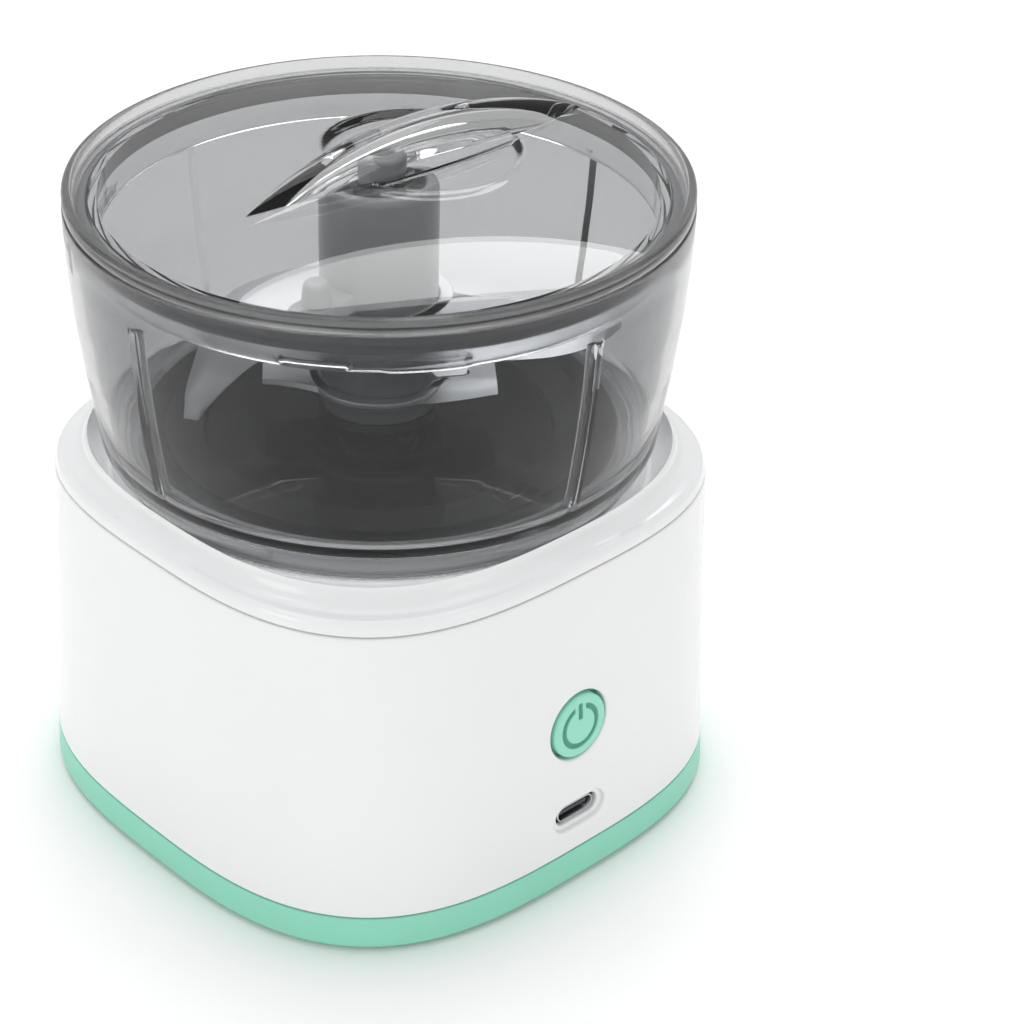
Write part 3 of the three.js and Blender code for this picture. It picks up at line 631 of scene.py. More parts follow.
@dataclass(frozen=True)
class Finish:
    """What every finish has: a name, a colour and a material made once.

    The second colour, where there is one, shows where the mesh is painted; here it carries painted shade in the
    button's engraving, painted light on the seat's flank and painted reflection on the blades.
    """

    name: str
    colour: Colour
    second: Optional[Colour] = None

    def material(self) -> bpy.types.Material:
        """The finish's material, built on first use."""
        found = bpy.data.materials.get(self.name)
        if found:
            return found
        made = bpy.data.materials.new(self.name)
        made.use_nodes = True
        made.node_tree.nodes.clear()
        graph = Graph(made.node_tree)
        shader = graph.node("ShaderNodeBsdfPrincipled")
        output = graph.node("ShaderNodeOutputMaterial")
        graph.feed(output.inputs["Surface"], self.surface(graph, shader))
        self.dress(graph, shader)
        return made

    def surface(self, graph: Graph, shader: bpy.types.Node) -> bpy.types.NodeSocket:
        """What the material shows: the Principled shader as it is."""
        return shader.outputs["BSDF"]

    def dress(self, graph: Graph, shader: bpy.types.Node) -> None:
        """Fills in the shader; each kind of finish has its own.

        Args:
            graph: The material's tree.
            shader: Its Principled shader.
        """
        raise NotImplementedError

    def painted(self, graph: Graph, base: bpy.types.NodeSocket) -> bpy.types.NodeSocket:
        """Turns the base colour to the second one where the mesh is painted.

        Args:
            graph: The material's tree.
            base: The base colour.

        Returns:
            The colour to show.
        """
        if self.second is None:
            return base
        share = graph.node("ShaderNodeAttribute", attribute_name=PAINT).outputs["Fac"]
        return graph.mix(share, base, (*self.second, 1.0))

    def tone(self, factor: float) -> tuple[float, float, float, float]:
        """The colour with alpha, made lighter or darker by a factor."""
        red, green, blue = (min(1.0, channel * factor) for channel in self.colour)
        return (red, green, blue, 1.0)


@dataclass(frozen=True)
class Plastic(Finish):
    """Opaque moulded plastic."""

    rough: tuple[float, float] = (0.16, 0.24)
    grain: float = 1800.0
    bump: float = 0.02
    wear: float = 0.35
    worn: float = 1.25
    index: float = 1.5
    coat: float = 0.0
    coat_rough: float = 0.06

    def dress(self, graph: Graph, shader: bpy.types.Node) -> None:
        """Clouded colour, worn edges, uneven gloss and a fine skin bump."""
        values = {"Grain Scale": self.grain, "Rough Low": self.rough[0], "Rough High": self.rough[1]}
        skin = graph.place(moulded_skin(), values)
        wear = graph.place(edge_wear(), {"Amount": self.wear})
        base = graph.mix(skin.outputs["Cloud"], self.tone(0.975), self.tone(1.02))
        base = self.painted(graph, base)
        graph.feed(shader.inputs["Base Color"], graph.mix(wear.outputs["Mask"], base, self.tone(self.worn)))
        graph.feed(shader.inputs["Roughness"], skin.outputs["Roughness"])
        graph.relief(shader, skin.outputs["Height"], self.bump, 0.4 * MM)
        shader.inputs["IOR"].default_value = self.index
        shader.inputs["Coat Weight"].default_value = self.coat
        shader.inputs["Coat Roughness"].default_value = self.coat_rough


@dataclass(frozen=True)
class ClearPlastic(Finish):
    """Polished see-through plastic with a smoke tint; its painted parts are frosted, in a tone of their own:
    painted light on the bowl's rim and skirt, painted shade on the lid's rim.
    """

    rough: tuple[float, float] = (0.0, 0.012)
    index: float = 1.35
    # Tone factor of the painted bands: above 1 it is a painted light, below 1 a painted shade.
    painted_light_tone: float = 1.0
    frost: float = 0.0
    flow: float = 90.0
    wipe: float = 0.02
    bump: float = 0.0012

    def surface(self, graph: Graph, shader: bpy.types.Node) -> bpy.types.NodeSocket:
        """Lets lamps shine through with half of the tint at each face, so that what is inside is lit.

        Args:
            graph: The material's tree.
            shader: Its Principled shader.

        Returns:
            The shader to show: Transparent for shadow rays and Principled for all others.
        """
        clear = graph.node("ShaderNodeBsdfTransparent")
        clear.inputs["Color"].default_value = (*(math.sqrt(c) for c in self.colour), 1.0)
        mixed = graph.node("ShaderNodeMixShader")
        graph.feed(mixed.inputs[0], graph.node("ShaderNodeLightPath").outputs["Is Shadow Ray"])
        graph.feed(mixed.inputs[1], shader.outputs["BSDF"])
        graph.feed(mixed.inputs[2], clear.outputs["BSDF"])
        return mixed.outputs["Shader"]

    def dress(self, graph: Graph, shader: bpy.types.Node) -> None:
        """Tinted transmission, another tone where painted (painted light on the bowl's bands, painted shade on
        the lid's rim), with wipe marks and a little flow in its face.
        """
        skin = graph.place(moulded_skin(), {
            "Grain Scale": self.flow, "Rough Low": self.rough[0], "Rough High": self.rough[1],
            "Wipe": self.wipe})
        tint = graph.mix(skin.outputs["Cloud"], self.tone(0.98), self.tone(1.015))
        # The painted bands are frosted, and their tone is painted light (bowl rim and skirt, lighter) and
        # painted shade (lid rim, darker).
        frost_and_light_band = graph.node("ShaderNodeAttribute", attribute_name=PAINT).outputs["Fac"]
        graph.feed(shader.inputs["Base Color"], graph.mix(frost_and_light_band, tint, self.tone(self.painted_light_tone)))
        frosted = graph.math("MULTIPLY", frost_and_light_band, self.frost)
        graph.feed(shader.inputs["Roughness"], graph.math("ADD", skin.outputs["Roughness"], frosted))
        graph.relief(shader, skin.outputs["Height"], self.bump, 0.5 * MM)
        shader.inputs["Metallic"].default_value = 0.0
        shader.inputs["Transmission Weight"].default_value = 1.0
        shader.inputs["IOR"].default_value = self.index


@dataclass(frozen=True)
class Metal(Finish):
    """Bare or plated metal with grinding lines."""

    rough: tuple[float, float] = (0.16, 0.34)
    stretch: tuple[float, float, float] = (3000.0, 120.0, 120.0)
    bump: float = 0.04

    def dress(self, graph: Graph, shader: bpy.types.Node) -> None:
        """Metal colour with lines, cloudy roughness and brighter edges."""
        values = {"Stretch": self.stretch, "Rough Low": self.rough[0], "Rough High": self.rough[1]}
        lines = graph.place(brushed_metal(), values)
        wear = graph.place(edge_wear(), {})
        base = graph.mix(lines.outputs["Cloud"], self.tone(0.9), self.tone(1.08))
        base = self.painted(graph, base)
        graph.feed(shader.inputs["Base Color"], graph.mix(wear.outputs["Mask"], base, self.tone(1.3)))
        graph.feed(shader.inputs["Roughness"], lines.outputs["Roughness"])
        graph.relief(shader, lines.outputs["Height"], self.bump, 0.3 * MM)
        shader.inputs["Metallic"].default_value = 1.0


@dataclass(frozen=True)
class Rubber(Finish):
    """Matt elastomer with a powdery bloom."""

    rough: tuple[float, float] = (0.5, 0.68)
    grain: float = 2400.0
    bump: float = 0.12

    def dress(self, graph: Graph, shader: bpy.types.Node) -> None:
        """Dark colour with pale dusting in the grain, high roughness and a soft pebble bump."""
        values = {"Grain Scale": self.grain, "Rough Low": self.rough[0], "Rough High": self.rough[1]}
        skin = graph.place(moulded_skin(), values)
        wear = graph.place(edge_wear(), {})
        base = graph.mix(skin.outputs["Cloud"], self.tone(0.85), self.tone(1.25))
        graph.feed(shader.inputs["Base Color"], graph.mix(wear.outputs["Mask"], base, self.tone(2.2)))
        graph.feed(shader.inputs["Roughness"], skin.outputs["Roughness"])
        graph.relief(shader, skin.outputs["Height"], self.bump, 0.4 * MM)


class Finishes:
    """The object's finishes."""

    white = Plastic("gloss_white", (0.86, 0.865, 0.87), rough=(0.10, 0.17), coat=0.25, worn=1.05)
    mint = Plastic("satin_mint", (0.275, 0.70, 0.53), rough=(0.32, 0.42), worn=1.12)
    # The button's dark second tone is painted shade in the engraved symbol, darker where the engraving is
    # deeper.
    mint_button = Plastic("mint_button_cap", (0.31, 0.76, 0.585), rough=(0.34, 0.42), grain=2600.0, bump=0.05,
                          wear=0.1, second=(0.06, 0.30, 0.21))
    # The bowl's lighter band tone is painted light for its pale rim and skirt; the lid's darker rim tone is
    # painted shade.
    smoke = ClearPlastic("smoke_clear_bowl", (0.47, 0.474, 0.48), painted_light_tone=1.4, frost=0.25)
    smoke_lid = ClearPlastic("smoke_clear_lid", (0.86, 0.865, 0.87), painted_light_tone=0.72, frost=0.25)
    silicone = Rubber("grey_silicone", (0.10, 0.102, 0.105))
    # The seat's pale second tone is painted light on its rim's outer flank, which brightens what shows through
    # the bowl's skirt.
    seat = Plastic("charcoal_seat", (0.016, 0.017, 0.018), rough=(0.10, 0.17), bump=0.003, worn=2.0,
                   second=(0.78, 0.785, 0.79))
    hub = Plastic("hub_grey", (0.86, 0.865, 0.87), rough=(0.14, 0.22), worn=1.1)
    rubber = Rubber("black_rubber", (0.018, 0.018, 0.019))
    # The blade's dark base colour is painted dark reflection on the flat faces; its bright second tone is
    # painted reflection on the ground bevels and the bent tip.
    blade = Metal("blade_steel", (0.27, 0.275, 0.285), rough=(0.16, 0.28), stretch=(160.0, 900.0, 900.0),
                  second=(0.86, 0.87, 0.88))
    screw = Metal("screw_steel", (0.55, 0.56, 0.58), rough=(0.22, 0.36))
    turned = Metal("turned_steel", (0.6, 0.61, 0.62), rough=(0.12, 0.24), stretch=(120.0, 120.0, 3000.0))
    plated = Metal("plated_steel", (0.5, 0.51, 0.53), rough=(0.2, 0.32), stretch=(120.0, 120.0, 2400.0))
    bronze = Metal("sintered_bronze", (0.46, 0.29, 0.13), rough=(0.3, 0.45))
    inner = Plastic("inner_nylon", (0.05, 0.052, 0.055), rough=(0.36, 0.5), bump=0.06)
    board = Plastic("solder_mask", (0.02, 0.2, 0.07), rough=(0.2, 0.34), grain=900.0, bump=0.06)
    wrap = Plastic("cell_wrap", (0.05, 0.2, 0.45), rough=(0.2, 0.3), grain=500.0)
    red = Plastic("red_wire", (0.5, 0.03, 0.02), rough=(0.34, 0.44))
    black = Plastic("black_wire", (0.02, 0.02, 0.02), rough=(0.34, 0.44))


FINISH_OF = {
    Slot.WHITE: Finishes.white, Slot.MINT: Finishes.mint, Slot.MINT_BUTTON: Finishes.mint_button,
    Slot.SMOKE: Finishes.smoke, Slot.SEAT: Finishes.seat, Slot.HUB: Finishes.hub, Slot.RUBBER: Finishes.rubber,
    Slot.SCREW: Finishes.screw, Slot.BLADE: Finishes.blade, Slot.TURNED: Finishes.turned,
    Slot.PLATED: Finishes.plated, Slot.BRONZE: Finishes.bronze, Slot.INNER: Finishes.inner,
    Slot.BOARD: Finishes.board, Slot.WRAP: Finishes.wrap, Slot.RED: Finishes.red, Slot.BLACK: Finishes.black,
}


# ---------------------------------------------------------------- base


@dataclass
class Base:
    """The squared base: shell, deck, seat, bottom cover and feet."""

    squareness: float = 3.0
    wall: float = 2.2
    columns: int = 576
    level_counts: tuple[int, ...] = (3, 19, 31, 14)
    edge_fillet: float = 0.35
    lip_fillet: float = 0.45
    slot_fillet: float = 0.3
    window_columns: int = 20
    face_rings: int = 9
    back_rings: int = 5
    crowding: float = 0.8
    port_window: tuple[float, float] = (8.9, 22.1)
    button_window: tuple[float, float] = (22.1, 47.1)
    button_centre: tuple[float, float] = (-0.9, 34.6)
    button_hole: float = 6.95
    port_centre: tuple[float, float] = (-0.4, 15.4)
    port_outer: tuple[float, float] = (12.7, 5.7)
    port_inner: tuple[float, float] = (10.4, 3.9)
    port_depth: float = 0.9
    deck_seam: float = 65.9
    deck_lip: float = 2.4
    deck_ring: float = 49.3
    deck_hole: float = 44.7
    cover_top: float = 7.4
    cover_lip: float = 9.4
    cover_floor: float = 3.0
    cover_gap: float = 0.3
    foot_groove: tuple[float, float, float] = (3.0, 3.4, 0.25)
    seat_rim: float = 44.4
    seat_well: float = 12.6
    seat_foot: float = 64.4
    ledge_start: float = 1.5
    ledge_turn: float = 24.0
    ledge_reach: float = 1.5

    def __post_init__(self) -> None:
        """Reads the levels and widths from the frame."""
        shell_low, shell_high = span("base_shell")
        cover_low, cover_high = span("bottom_cover")
        deck_high = span("deck_cover")[1]
        self.low, self.high = float(shell_low[2]), float(shell_high[2])
        self.cover_low = float(cover_low[2])
        self.foot_half, self.deck_half = float(cover_high[0]), float(deck_high[0])
        self.deck_top = float(deck_high[2])
        self.taper = (self.foot_half - self.deck_half) / (self.deck_seam - self.cover_low)

    def half_at(self, z: np.ndarray | float) -> np.ndarray | float:
        """Half width of the outside at a height: it narrows evenly upwards.

        Args:
            z: Height, in millimetres.

        Returns:
            The half width on the axes.
        """
        return self.foot_half - self.taper * (z - self.cover_low)

    def front(self, x: np.ndarray, z: np.ndarray, depth: np.ndarray | float) -> np.ndarray:
        """Y of the front wall at (x, z), a depth behind its outside: -(half^n - |x|^n)^(1/n).

        Args:
            x: Places across the front.
            z: Their heights.
            depth: How far behind the outside.

        Returns:
            Y of each place.
        """
        half = self.half_at(z) - depth
        return -((half ** self.squareness - np.abs(x) ** self.squareness) ** (1.0 / self.squareness))

    def hole(self, rim: np.ndarray, centre: tuple[float, float],
             steps: Sequence[tuple[float, float, float]]) -> np.ndarray:
        """Skin from a window's edge to a hole, through the wall and out to the same edge inside.

        Every ring has the window's own points as its directions. A step names an oval and a depth; the ring is
        where those directions meet the oval, set back by the depth.

        Args:
            rim: Points (x, z) round the window.
            centre: Middle of the hole (x, z).
            steps: (oval length, oval height, depth) of each ring, from the outside in.

        Returns:
            Grid of rings by points by 3.
        """
        middle = np.array(centre)
        away = rim - middle
        far = np.linalg.norm(away, axis=1)
        unit = away / far[:, None]
        rings = []

        def ring(reach: np.ndarray, depth: float) -> np.ndarray:
            """One ring.

            Args:
                reach: How far it is from the middle in each direction.
                depth: How far it is behind the outside.

            Returns:
                Its points.
            """
            spot = middle + unit * reach[:, None]
            y = self.front(spot[:, 0], spot[:, 1], depth)
            return np.stack([spot[:, 0], y, spot[:, 1]], axis=-1)

        first = oval_reach(unit, steps[0][0], steps[0][1])
        for t in np.linspace(0.0, 1.0, self.face_rings)[:-1]:
            rings.append(ring(far + (first - far) * t ** self.crowding, 0.0))
        for length, height, depth in steps:
            rings.append(ring(oval_reach(unit, length, height), depth))
        last = oval_reach(unit, steps[-1][0], steps[-1][1])
        for t in np.linspace(0.0, 1.0, self.back_rings)[1:]:
            rings.append(ring(last + (far - last) * t, self.wall))
        return np.stack(rings)

    def shell(self) -> None:
        """The white shell: outside and inside walls, with windows filled by the button hole and the port."""
        angle = around(self.columns) - math.pi / 2.0
        a, b, c = self.port_window[0], self.port_window[1], self.button_window[1]
        f = self.edge_fillet
        turn = np.linspace(0.0, math.pi / 2.0, 5)
        ends = (self.low + f, a, b, c, self.high - f)
        stretches = [np.linspace(start, stop, count)[:-1]
                     for start, stop, count in zip(ends, ends[1:], self.level_counts)]
        levels = np.concatenate([*stretches, [ends[-1]]])
        outside = np.stack([self.half_at(levels), levels], axis=1)
        in_low, in_high = self.half_at(self.low) - f, self.half_at(self.high) - f
        lower = np.stack([in_low + f * np.sin(turn), self.low + f - f * np.cos(turn)], axis=1)
        upper = np.stack([in_high + f * np.cos(turn), self.high - f + f * np.sin(turn)], axis=1)
        inside = np.stack([self.half_at(levels) - self.wall, levels], axis=1)[::-1]
        rows = np.vstack([lower[:-1], outside, upper[1:],
                          [[self.half_at(self.high) - self.wall, self.high]], inside,
                          [[self.half_at(self.low) - self.wall, self.low]]])
        rows = np.hstack([rows, np.full((len(rows), 1), self.squareness)])
        points = revolve(rows, angle)
        keep = np.ones(points.shape[:2], dtype=bool)
        side = np.arange(-self.window_columns, self.window_columns) % self.columns
        first_out = len(lower) - 1
        first_in = first_out + len(levels) + len(upper)
        port_rows = (int(np.argmin(np.abs(levels - a))), int(np.argmin(np.abs(levels - b))))
        button_rows = (port_rows[1], int(np.argmin(np.abs(levels - c))))
        skin = Skin("base_shell_skin")
        for (low, high), centre, steps in (
            (port_rows, self.port_centre, self.port_steps()),
            (button_rows, self.button_centre, self.button_steps()),
        ):
            for start, stop in ((first_out + low, first_out + high),
                                (first_in + len(levels) - 1 - high, first_in + len(levels) - 1 - low)):
                keep[np.ix_(np.arange(start, stop), side)] = False
            loop = self.window_loop(points, first_out + low, first_out + high)
            skin.grid(self.hole(loop, centre, steps))
        skin.grid(points, close=True, keep=keep)
        skin.piece(Body.BASE, Slot.WHITE, Finishes.white, ["base_shell"], sharp=50.0)

    def window_loop(self, points: np.ndarray, low: int, high: int) -> np.ndarray:
        """The edge of a window.

        Args:
            points: The shell's grid.
            low: The window's lowest row.
            high: Its highest row.

        Returns:
            Points (x, z) of the grid round the window, in order.
        """
        w = self.window_columns
        across = np.arange(-w, w + 1) % self.columns
        bottom = points[low, across]
        right = points[low:high + 1, across[-1]]
        top = points[high, across][::-1]
        left = points[low:high + 1, across[0]][::-1]
        loop = np.vstack([bottom[:-1], right[:-1], top[:-1], left[:-1]])
        return loop[:, [0, 2]]

    @staticmethod
    def lip(wide: float, tall: float, fillet: float, depth: float,
            count: int) -> list[tuple[float, float, float]]:
        """A quarter-round lip that leads into an oval.

        Args:
            wide: Length of the oval.
            tall: Its height.
            fillet: Radius of the lip.
            depth: How deep the lip starts.
            count: Number of its rings.

        Returns:
            (oval length, oval height, depth) of each ring.
        """
        turns = np.linspace(0.0, math.pi / 2.0, count)
        grow = [2.0 * fillet * (1.0 - math.sin(t)) for t in turns]
        return [(wide + g, tall + g, depth + fillet * (1.0 - math.cos(t))) for g, t in zip(grow, turns)]

    def button_steps(self) -> list[tuple[float, float, float]]:
        """Rings of the button's hole: a rounded lip, then the wall."""
        across = 2.0 * self.button_hole
        lip = self.lip(across, across, self.lip_fillet, 0.0, 6)
        return lip + [(across, across, d) for d in np.linspace(0.8, self.wall, 3)]

    def port_steps(self) -> list[tuple[float, float, float]]:
        """Rings of the port: a rounded lip, a shallow bay, a second lip and the slot."""
        wide, tall = self.port_outer
        slot_wide, slot_tall = self.port_inner
        bay_corner = self.slot_fillet
        steps = self.lip(wide, tall, self.lip_fillet, 0.0, 6)
        steps += [(wide, tall, self.port_depth), (wide - bay_corner, tall - bay_corner, self.port_depth)]
        steps += self.lip(slot_wide, slot_tall, self.slot_fillet, self.port_depth, 5)
        return steps + [(slot_wide, slot_tall, self.wall)]

    def deck(self) -> None:
        """The white deck: a squared rounded edge that blends into the round seat ring."""
        n = self.squareness
        half = self.deck_half
        foot = float(span("deck_cover")[0][2])
        seam = foot + self.deck_lip
        under = self.deck_top - 2.0
        lip_in, lip_out = half - self.wall - 2.0, half - self.wall - 0.4
        corners = [
            Corner(half - 0.1, seam, 0.25, n), Corner(half - 0.55, seam + 2.35, 1.5, n),
            Corner(half - 4.6, seam + 2.86, 3.5, 2.72), Corner(self.deck_ring, self.deck_top, 3.0, 2.05),
            Corner(self.deck_hole, self.deck_top, 0.4), Corner(self.deck_hole, under, 0.2),
            Corner(48.0, under), Corner(lip_in, seam, 0.0, n),
            Corner(lip_in, foot, 0.3, n), Corner(lip_out, foot, 0.3, n), Corner(lip_out, seam, 0.0, n),
        ]
        rows, _ = Profile(corners, step=0.8).points()
        skin = Skin("deck_skin").grid(revolve(rows, around(360)), close=True)
        skin.piece(Body.BASE, Slot.WHITE, Finishes.white, ["deck_cover"], sharp=50.0)

    def bottom(self) -> None:
        """The mint bottom cover, with its lip inside the shell."""
        n = self.squareness
        top, lip, floor = self.cover_top, self.cover_lip, self.cover_floor
        outer = self.half_at(lip) - self.wall - self.cover_gap
        inner = outer - 1.6
        corners = [
            Corner(0.0, self.cover_low, 0.0, n), Corner(self.foot_half, self.cover_low, 1.0, n),
            Corner(self.half_at(top), top, 0.3, n), Corner(outer, top, 0.0, n), Corner(outer, lip, 0.4, n),
            Corner(inner, lip, 0.3, n), Corner(inner, floor, 0.6, n), Corner(0.0, floor, 0.0, n),
        ]
        rows, _ = Profile(corners, step=2.0, closed=False).points()
        Skin("bottom_cover_skin").grid(revolve(rows, around(360))).piece(
            Body.BASE, Slot.MINT, Finishes.mint, ["bottom_cover"], sharp=50.0)

    def feet(self) -> None:
        """Four rubber feet with rounded rims and a ring groove."""
        inner, outer, sunk = self.foot_groove
        for index in range(1, 5):
            node = f"rubber_foot_{index}"
            low, high = span(node)
            middle = (low + high) / 2.0
            radius = (high[0] - low[0]) / 2.0
            corners = [
                Corner(0.0, low[2] + sunk), Corner(inner, low[2] + sunk, 0.2), Corner(outer, low[2], 0.15),
                Corner(radius, low[2], 0.5), Corner(radius, high[2], 0.2), Corner(0.0, high[2]),
            ]
            rows, _ = Profile(corners, step=1.5, closed=False).points()
            points = revolve(rows, around(64)) + np.array([middle[0], middle[1], 0.0])
            Skin(f"foot_skin_{index}").grid(points).piece(Body.BASE, Slot.RUBBER, Finishes.rubber, [node])

    def seat(self) -> None:
        """The charcoal seat: a turned moulding whose rim bears four bayonet ledges."""
        low, high = span("bowl_seat")
        top = float(high[2])
        rim, well, foot = self.seat_rim, self.seat_well, self.seat_foot
        corners = [
            Corner(well, 68.0, 0.3), Corner(well, 72.4, 0.6),
            Corner(32.0, 72.4, 0.4), Corner(32.0, 69.4, 0.2),
            Corner(40.0, 69.4, 0.2), Corner(40.0, top, 0.5), Corner(rim, top, 0.5, tag="rim"),
            Corner(rim, 71.9, tag="rim"), Corner(rim, 66.2, tag="foot"),
            Corner(47.5, 66.2, 0.3), Corner(47.5, foot, 0.3),
            Corner(30.0, foot, 0.3), Corner(30.0, 66.6, 0.3),
            Corner(14.5, 66.6, 0.3), Corner(14.5, foot, 0.3),
            Corner(10.5, foot, 0.3), Corner(10.5, 68.0, 0.3),
        ]
        rows, tags = Profile(corners, step=1.0).points()
        angle = around(480)
        reach = np.zeros((len(rows), len(angle)))
        in_rim = ((tags == "rim") & (rows[:, 1] > 71.95) & (rows[:, 0] > rim - 0.2)).astype(float)[:, None]
        for quarter in QUARTERS:
            degrees = (np.degrees(angle) - quarter - self.ledge_start) % 360.0
            reach += in_rim * plateau(0.0, self.ledge_turn, 1.0, degrees)[None, :] * self.ledge_reach
        points = revolve(rows, angle)
        points[..., 0] += reach * np.cos(angle)
        points[..., 1] += reach * np.sin(angle)
        # Painted light: the rim's outer flank takes the seat's pale tone, to brighten what shows through the
        # bowl's skirt.
        painted_light_flank = np.broadcast_to(smooth(rim - 0.5, rim - 0.1, rows[:, 0])[:, None], reach.shape)
        Skin("bowl_seat_skin").grid(points, close=True, paint=painted_light_flank).piece(
            Body.BASE, Slot.SEAT, Finishes.seat, ["bowl_seat"])

    def build(self) -> None:
        """Builds the whole base."""
        self.shell()
        self.deck()
        self.bottom()
        self.feet()
        self.seat()


def oval_reach(unit: np.ndarray, length: float, height: float) -> np.ndarray:
    """Distance from the middle of a slot with round ends to its edge.

    A direction meets the flat side at radius / |s|, unless that lies past the straight part. Then it meets the
    end's circle at straight * |c| + sqrt(radius^2 - (straight * s)^2).

    Args:
        unit: Unit directions (c, s).
        length: Length of the slot.
        height: Its height.

    Returns:
        The distance in each direction.
    """
    radius = height / 2.0
    straight = max(0.0, length / 2.0 - radius)
    c, s = np.abs(unit[:, 0]), np.abs(unit[:, 1])
    flat = radius / np.maximum(s, 1e-9)
    end = straight * c + np.sqrt(np.maximum(radius ** 2 - (straight * s) ** 2, 0.0))
    return np.where(flat * c <= straight, flat, end)


@dataclass
class PowerButton:
    """The mint cap with its engraved power symbol, in the plane of the sloping wall."""

    cap: float = 6.3
    proud: float = 0.3
    ring_radius: float = 4.0
    line: float = 0.95
    depth: float = 0.35
    bar_low: float = 1.5
    bar_high: float = 4.7
    gap_half: float = 1.35
    soft: float = 0.14
    edge: float = 0.5
    crown: float = 0.12
    flange: float = 7.8
    stem: float = 1.6
    depths: tuple[float, float, float] = (3.0, 3.9, 7.2)

    def engraving(self, x: np.ndarray, up: np.ndarray) -> np.ndarray:
        """Depth of the symbol: an open ring, and a bar that stands in its opening.

        Args:
            x: Places across the face.
            up: Their heights on it.

        Returns:
            Depth at each place.
        """
        r = np.hypot(x, up)
        soft = self.soft
        ring = 1.0 - smooth(self.line / 2 - soft, self.line / 2 + soft, np.abs(r - self.ring_radius))
        opening = (1.0 - smooth(self.gap_half - soft, self.gap_half + soft, np.abs(x))) * (up > 0)
        bar = (1.0 - smooth(self.line / 2 - soft, self.line / 2 + soft, np.abs(x)))
        bar = bar * plateau(self.bar_low - soft, self.bar_high + soft, 2 * soft, up)
        return self.depth * np.maximum(ring * (1.0 - opening), bar)

    def build(self, base: Base) -> None:
        """Builds the cap on a polar grid: across the face, over its rounded edge and back to the flange.

        Args:
            base: The base, whose sloping wall the cap follows.
        """
        angle = around(420)
        edge, flange, stem = self.edge, self.flange, self.stem
        front, rear, end = self.depths
        face = np.linspace(0.0, self.cap - edge, 84)
        turn = np.linspace(0.0, math.pi / 2, 7)[1:]
        out = np.concatenate([face, self.cap - edge + edge * np.sin(turn),
                              [self.cap, flange, flange, stem, stem, 0.0]])
        back = np.concatenate([np.zeros_like(face), edge * (1 - np.cos(turn)),
                               [front, front, rear, rear, end, end]])
        x = out[:, None] * np.cos(angle)
        up = out[:, None] * np.sin(angle)
        cut = np.zeros_like(x)
        cut[:len(face)] = self.engraving(x[:len(face)], up[:len(face)])
        crown = self.crown * (1.0 - (np.minimum(out, self.cap) / self.cap) ** 2)
        crown[len(face):] = 0.0
        depth = back[:, None] - self.proud + cut - crown[:, None]
        tilt = math.atan(base.taper)
        cx, cz = base.button_centre
        wall = base.half_at(cz)
        y = -wall + depth * math.cos(tilt) + up * math.sin(tilt)
        z = cz - depth * math.sin(tilt) + up * math.cos(tilt)
        points = np.stack([x + cx, y, z], axis=-1)
        # Painted shade: the engraving is darkened in proportion to its depth.
        Skin("power_button_cap").grid(points, paint=cut / self.depth).piece(
            Body.BUTTON, Slot.MINT_BUTTON, Finishes.mint_button, ["power_button"], sharp=55.0)


@dataclass
class Port:
    """The charging receptacle behind the port's slot."""

    sheet: float = 0.3
    lip: float = 0.1
    back_wall: float = 0.6

    def build(self) -> None:
        """A rolled steel sleeve with rounded ends, open at the front."""
        low, high = span("port_shell")
        middle = (low + high) / 2.0
        angle = around(96)
        unit = np.stack([np.cos(angle), np.sin(angle)], axis=1)
        wide, tall = high[0] - low[0], high[2] - low[2]
        lip, bore, front, rear = self.lip, 2.0 * self.sheet, low[1], high[1] - self.back_wall
        rings = [(wide, tall, high[1]), (wide, tall, front + lip), (wide - 2 * lip, tall - 2 * lip, front),
                 (wide - bore + lip, tall - bore + lip, front), (wide - bore, tall - bore, front + lip),
                 (wide - bore, tall - bore, rear), (0.6, 0.4, rear)]
        grid = []
        for length, height, y in rings:
            reach = oval_reach(unit, length, height)
            grid.append(np.stack([middle[0] + unit[:, 0] * reach, np.full(len(angle), y),
                                  middle[2] + unit[:, 1] * reach], axis=-1))
        first = np.broadcast_to([middle[0], high[1], middle[2]], grid[0].shape)
        last = np.broadcast_to([middle[0], rear, middle[2]], grid[0].shape)
        points = np.stack([first, *grid, last])
        Skin("port_sleeve").grid(points).piece(Body.BASE, Slot.TURNED, Finishes.turned, ["port_shell"])


# ---------------------------------------------------------------- bowl


@dataclass(frozen=True)
class Relief:
    """A raised feature on a turned surface: where it is round the axis and how far it stands out."""

    centre: float
    half: float
    soft: float
    height: float

    def mask(self, degrees: np.ndarray) -> np.ndarray:
        """How far the feature stands out at each angle: a plateau with smooth sides.

        Args:
            degrees: Angles round the axis.

        Returns:
            The height at each angle.
        """
        away = np.abs((degrees - self.centre + 180.0) % 360.0 - 180.0)
        return self.height * (1.0 - smooth(self.half - self.soft, self.half, away))

    def repeat(self, turns: Sequence[float], degrees: np.ndarray) -> np.ndarray:
        """Copies of the feature, turned round the axis.

        Args:
            turns: How far each copy is turned, in degrees.
            degrees: Angles round the axis.

        Returns:
            The height of them all at each angle.
        """
        return sum(self.mask(degrees - turn) for turn in turns)


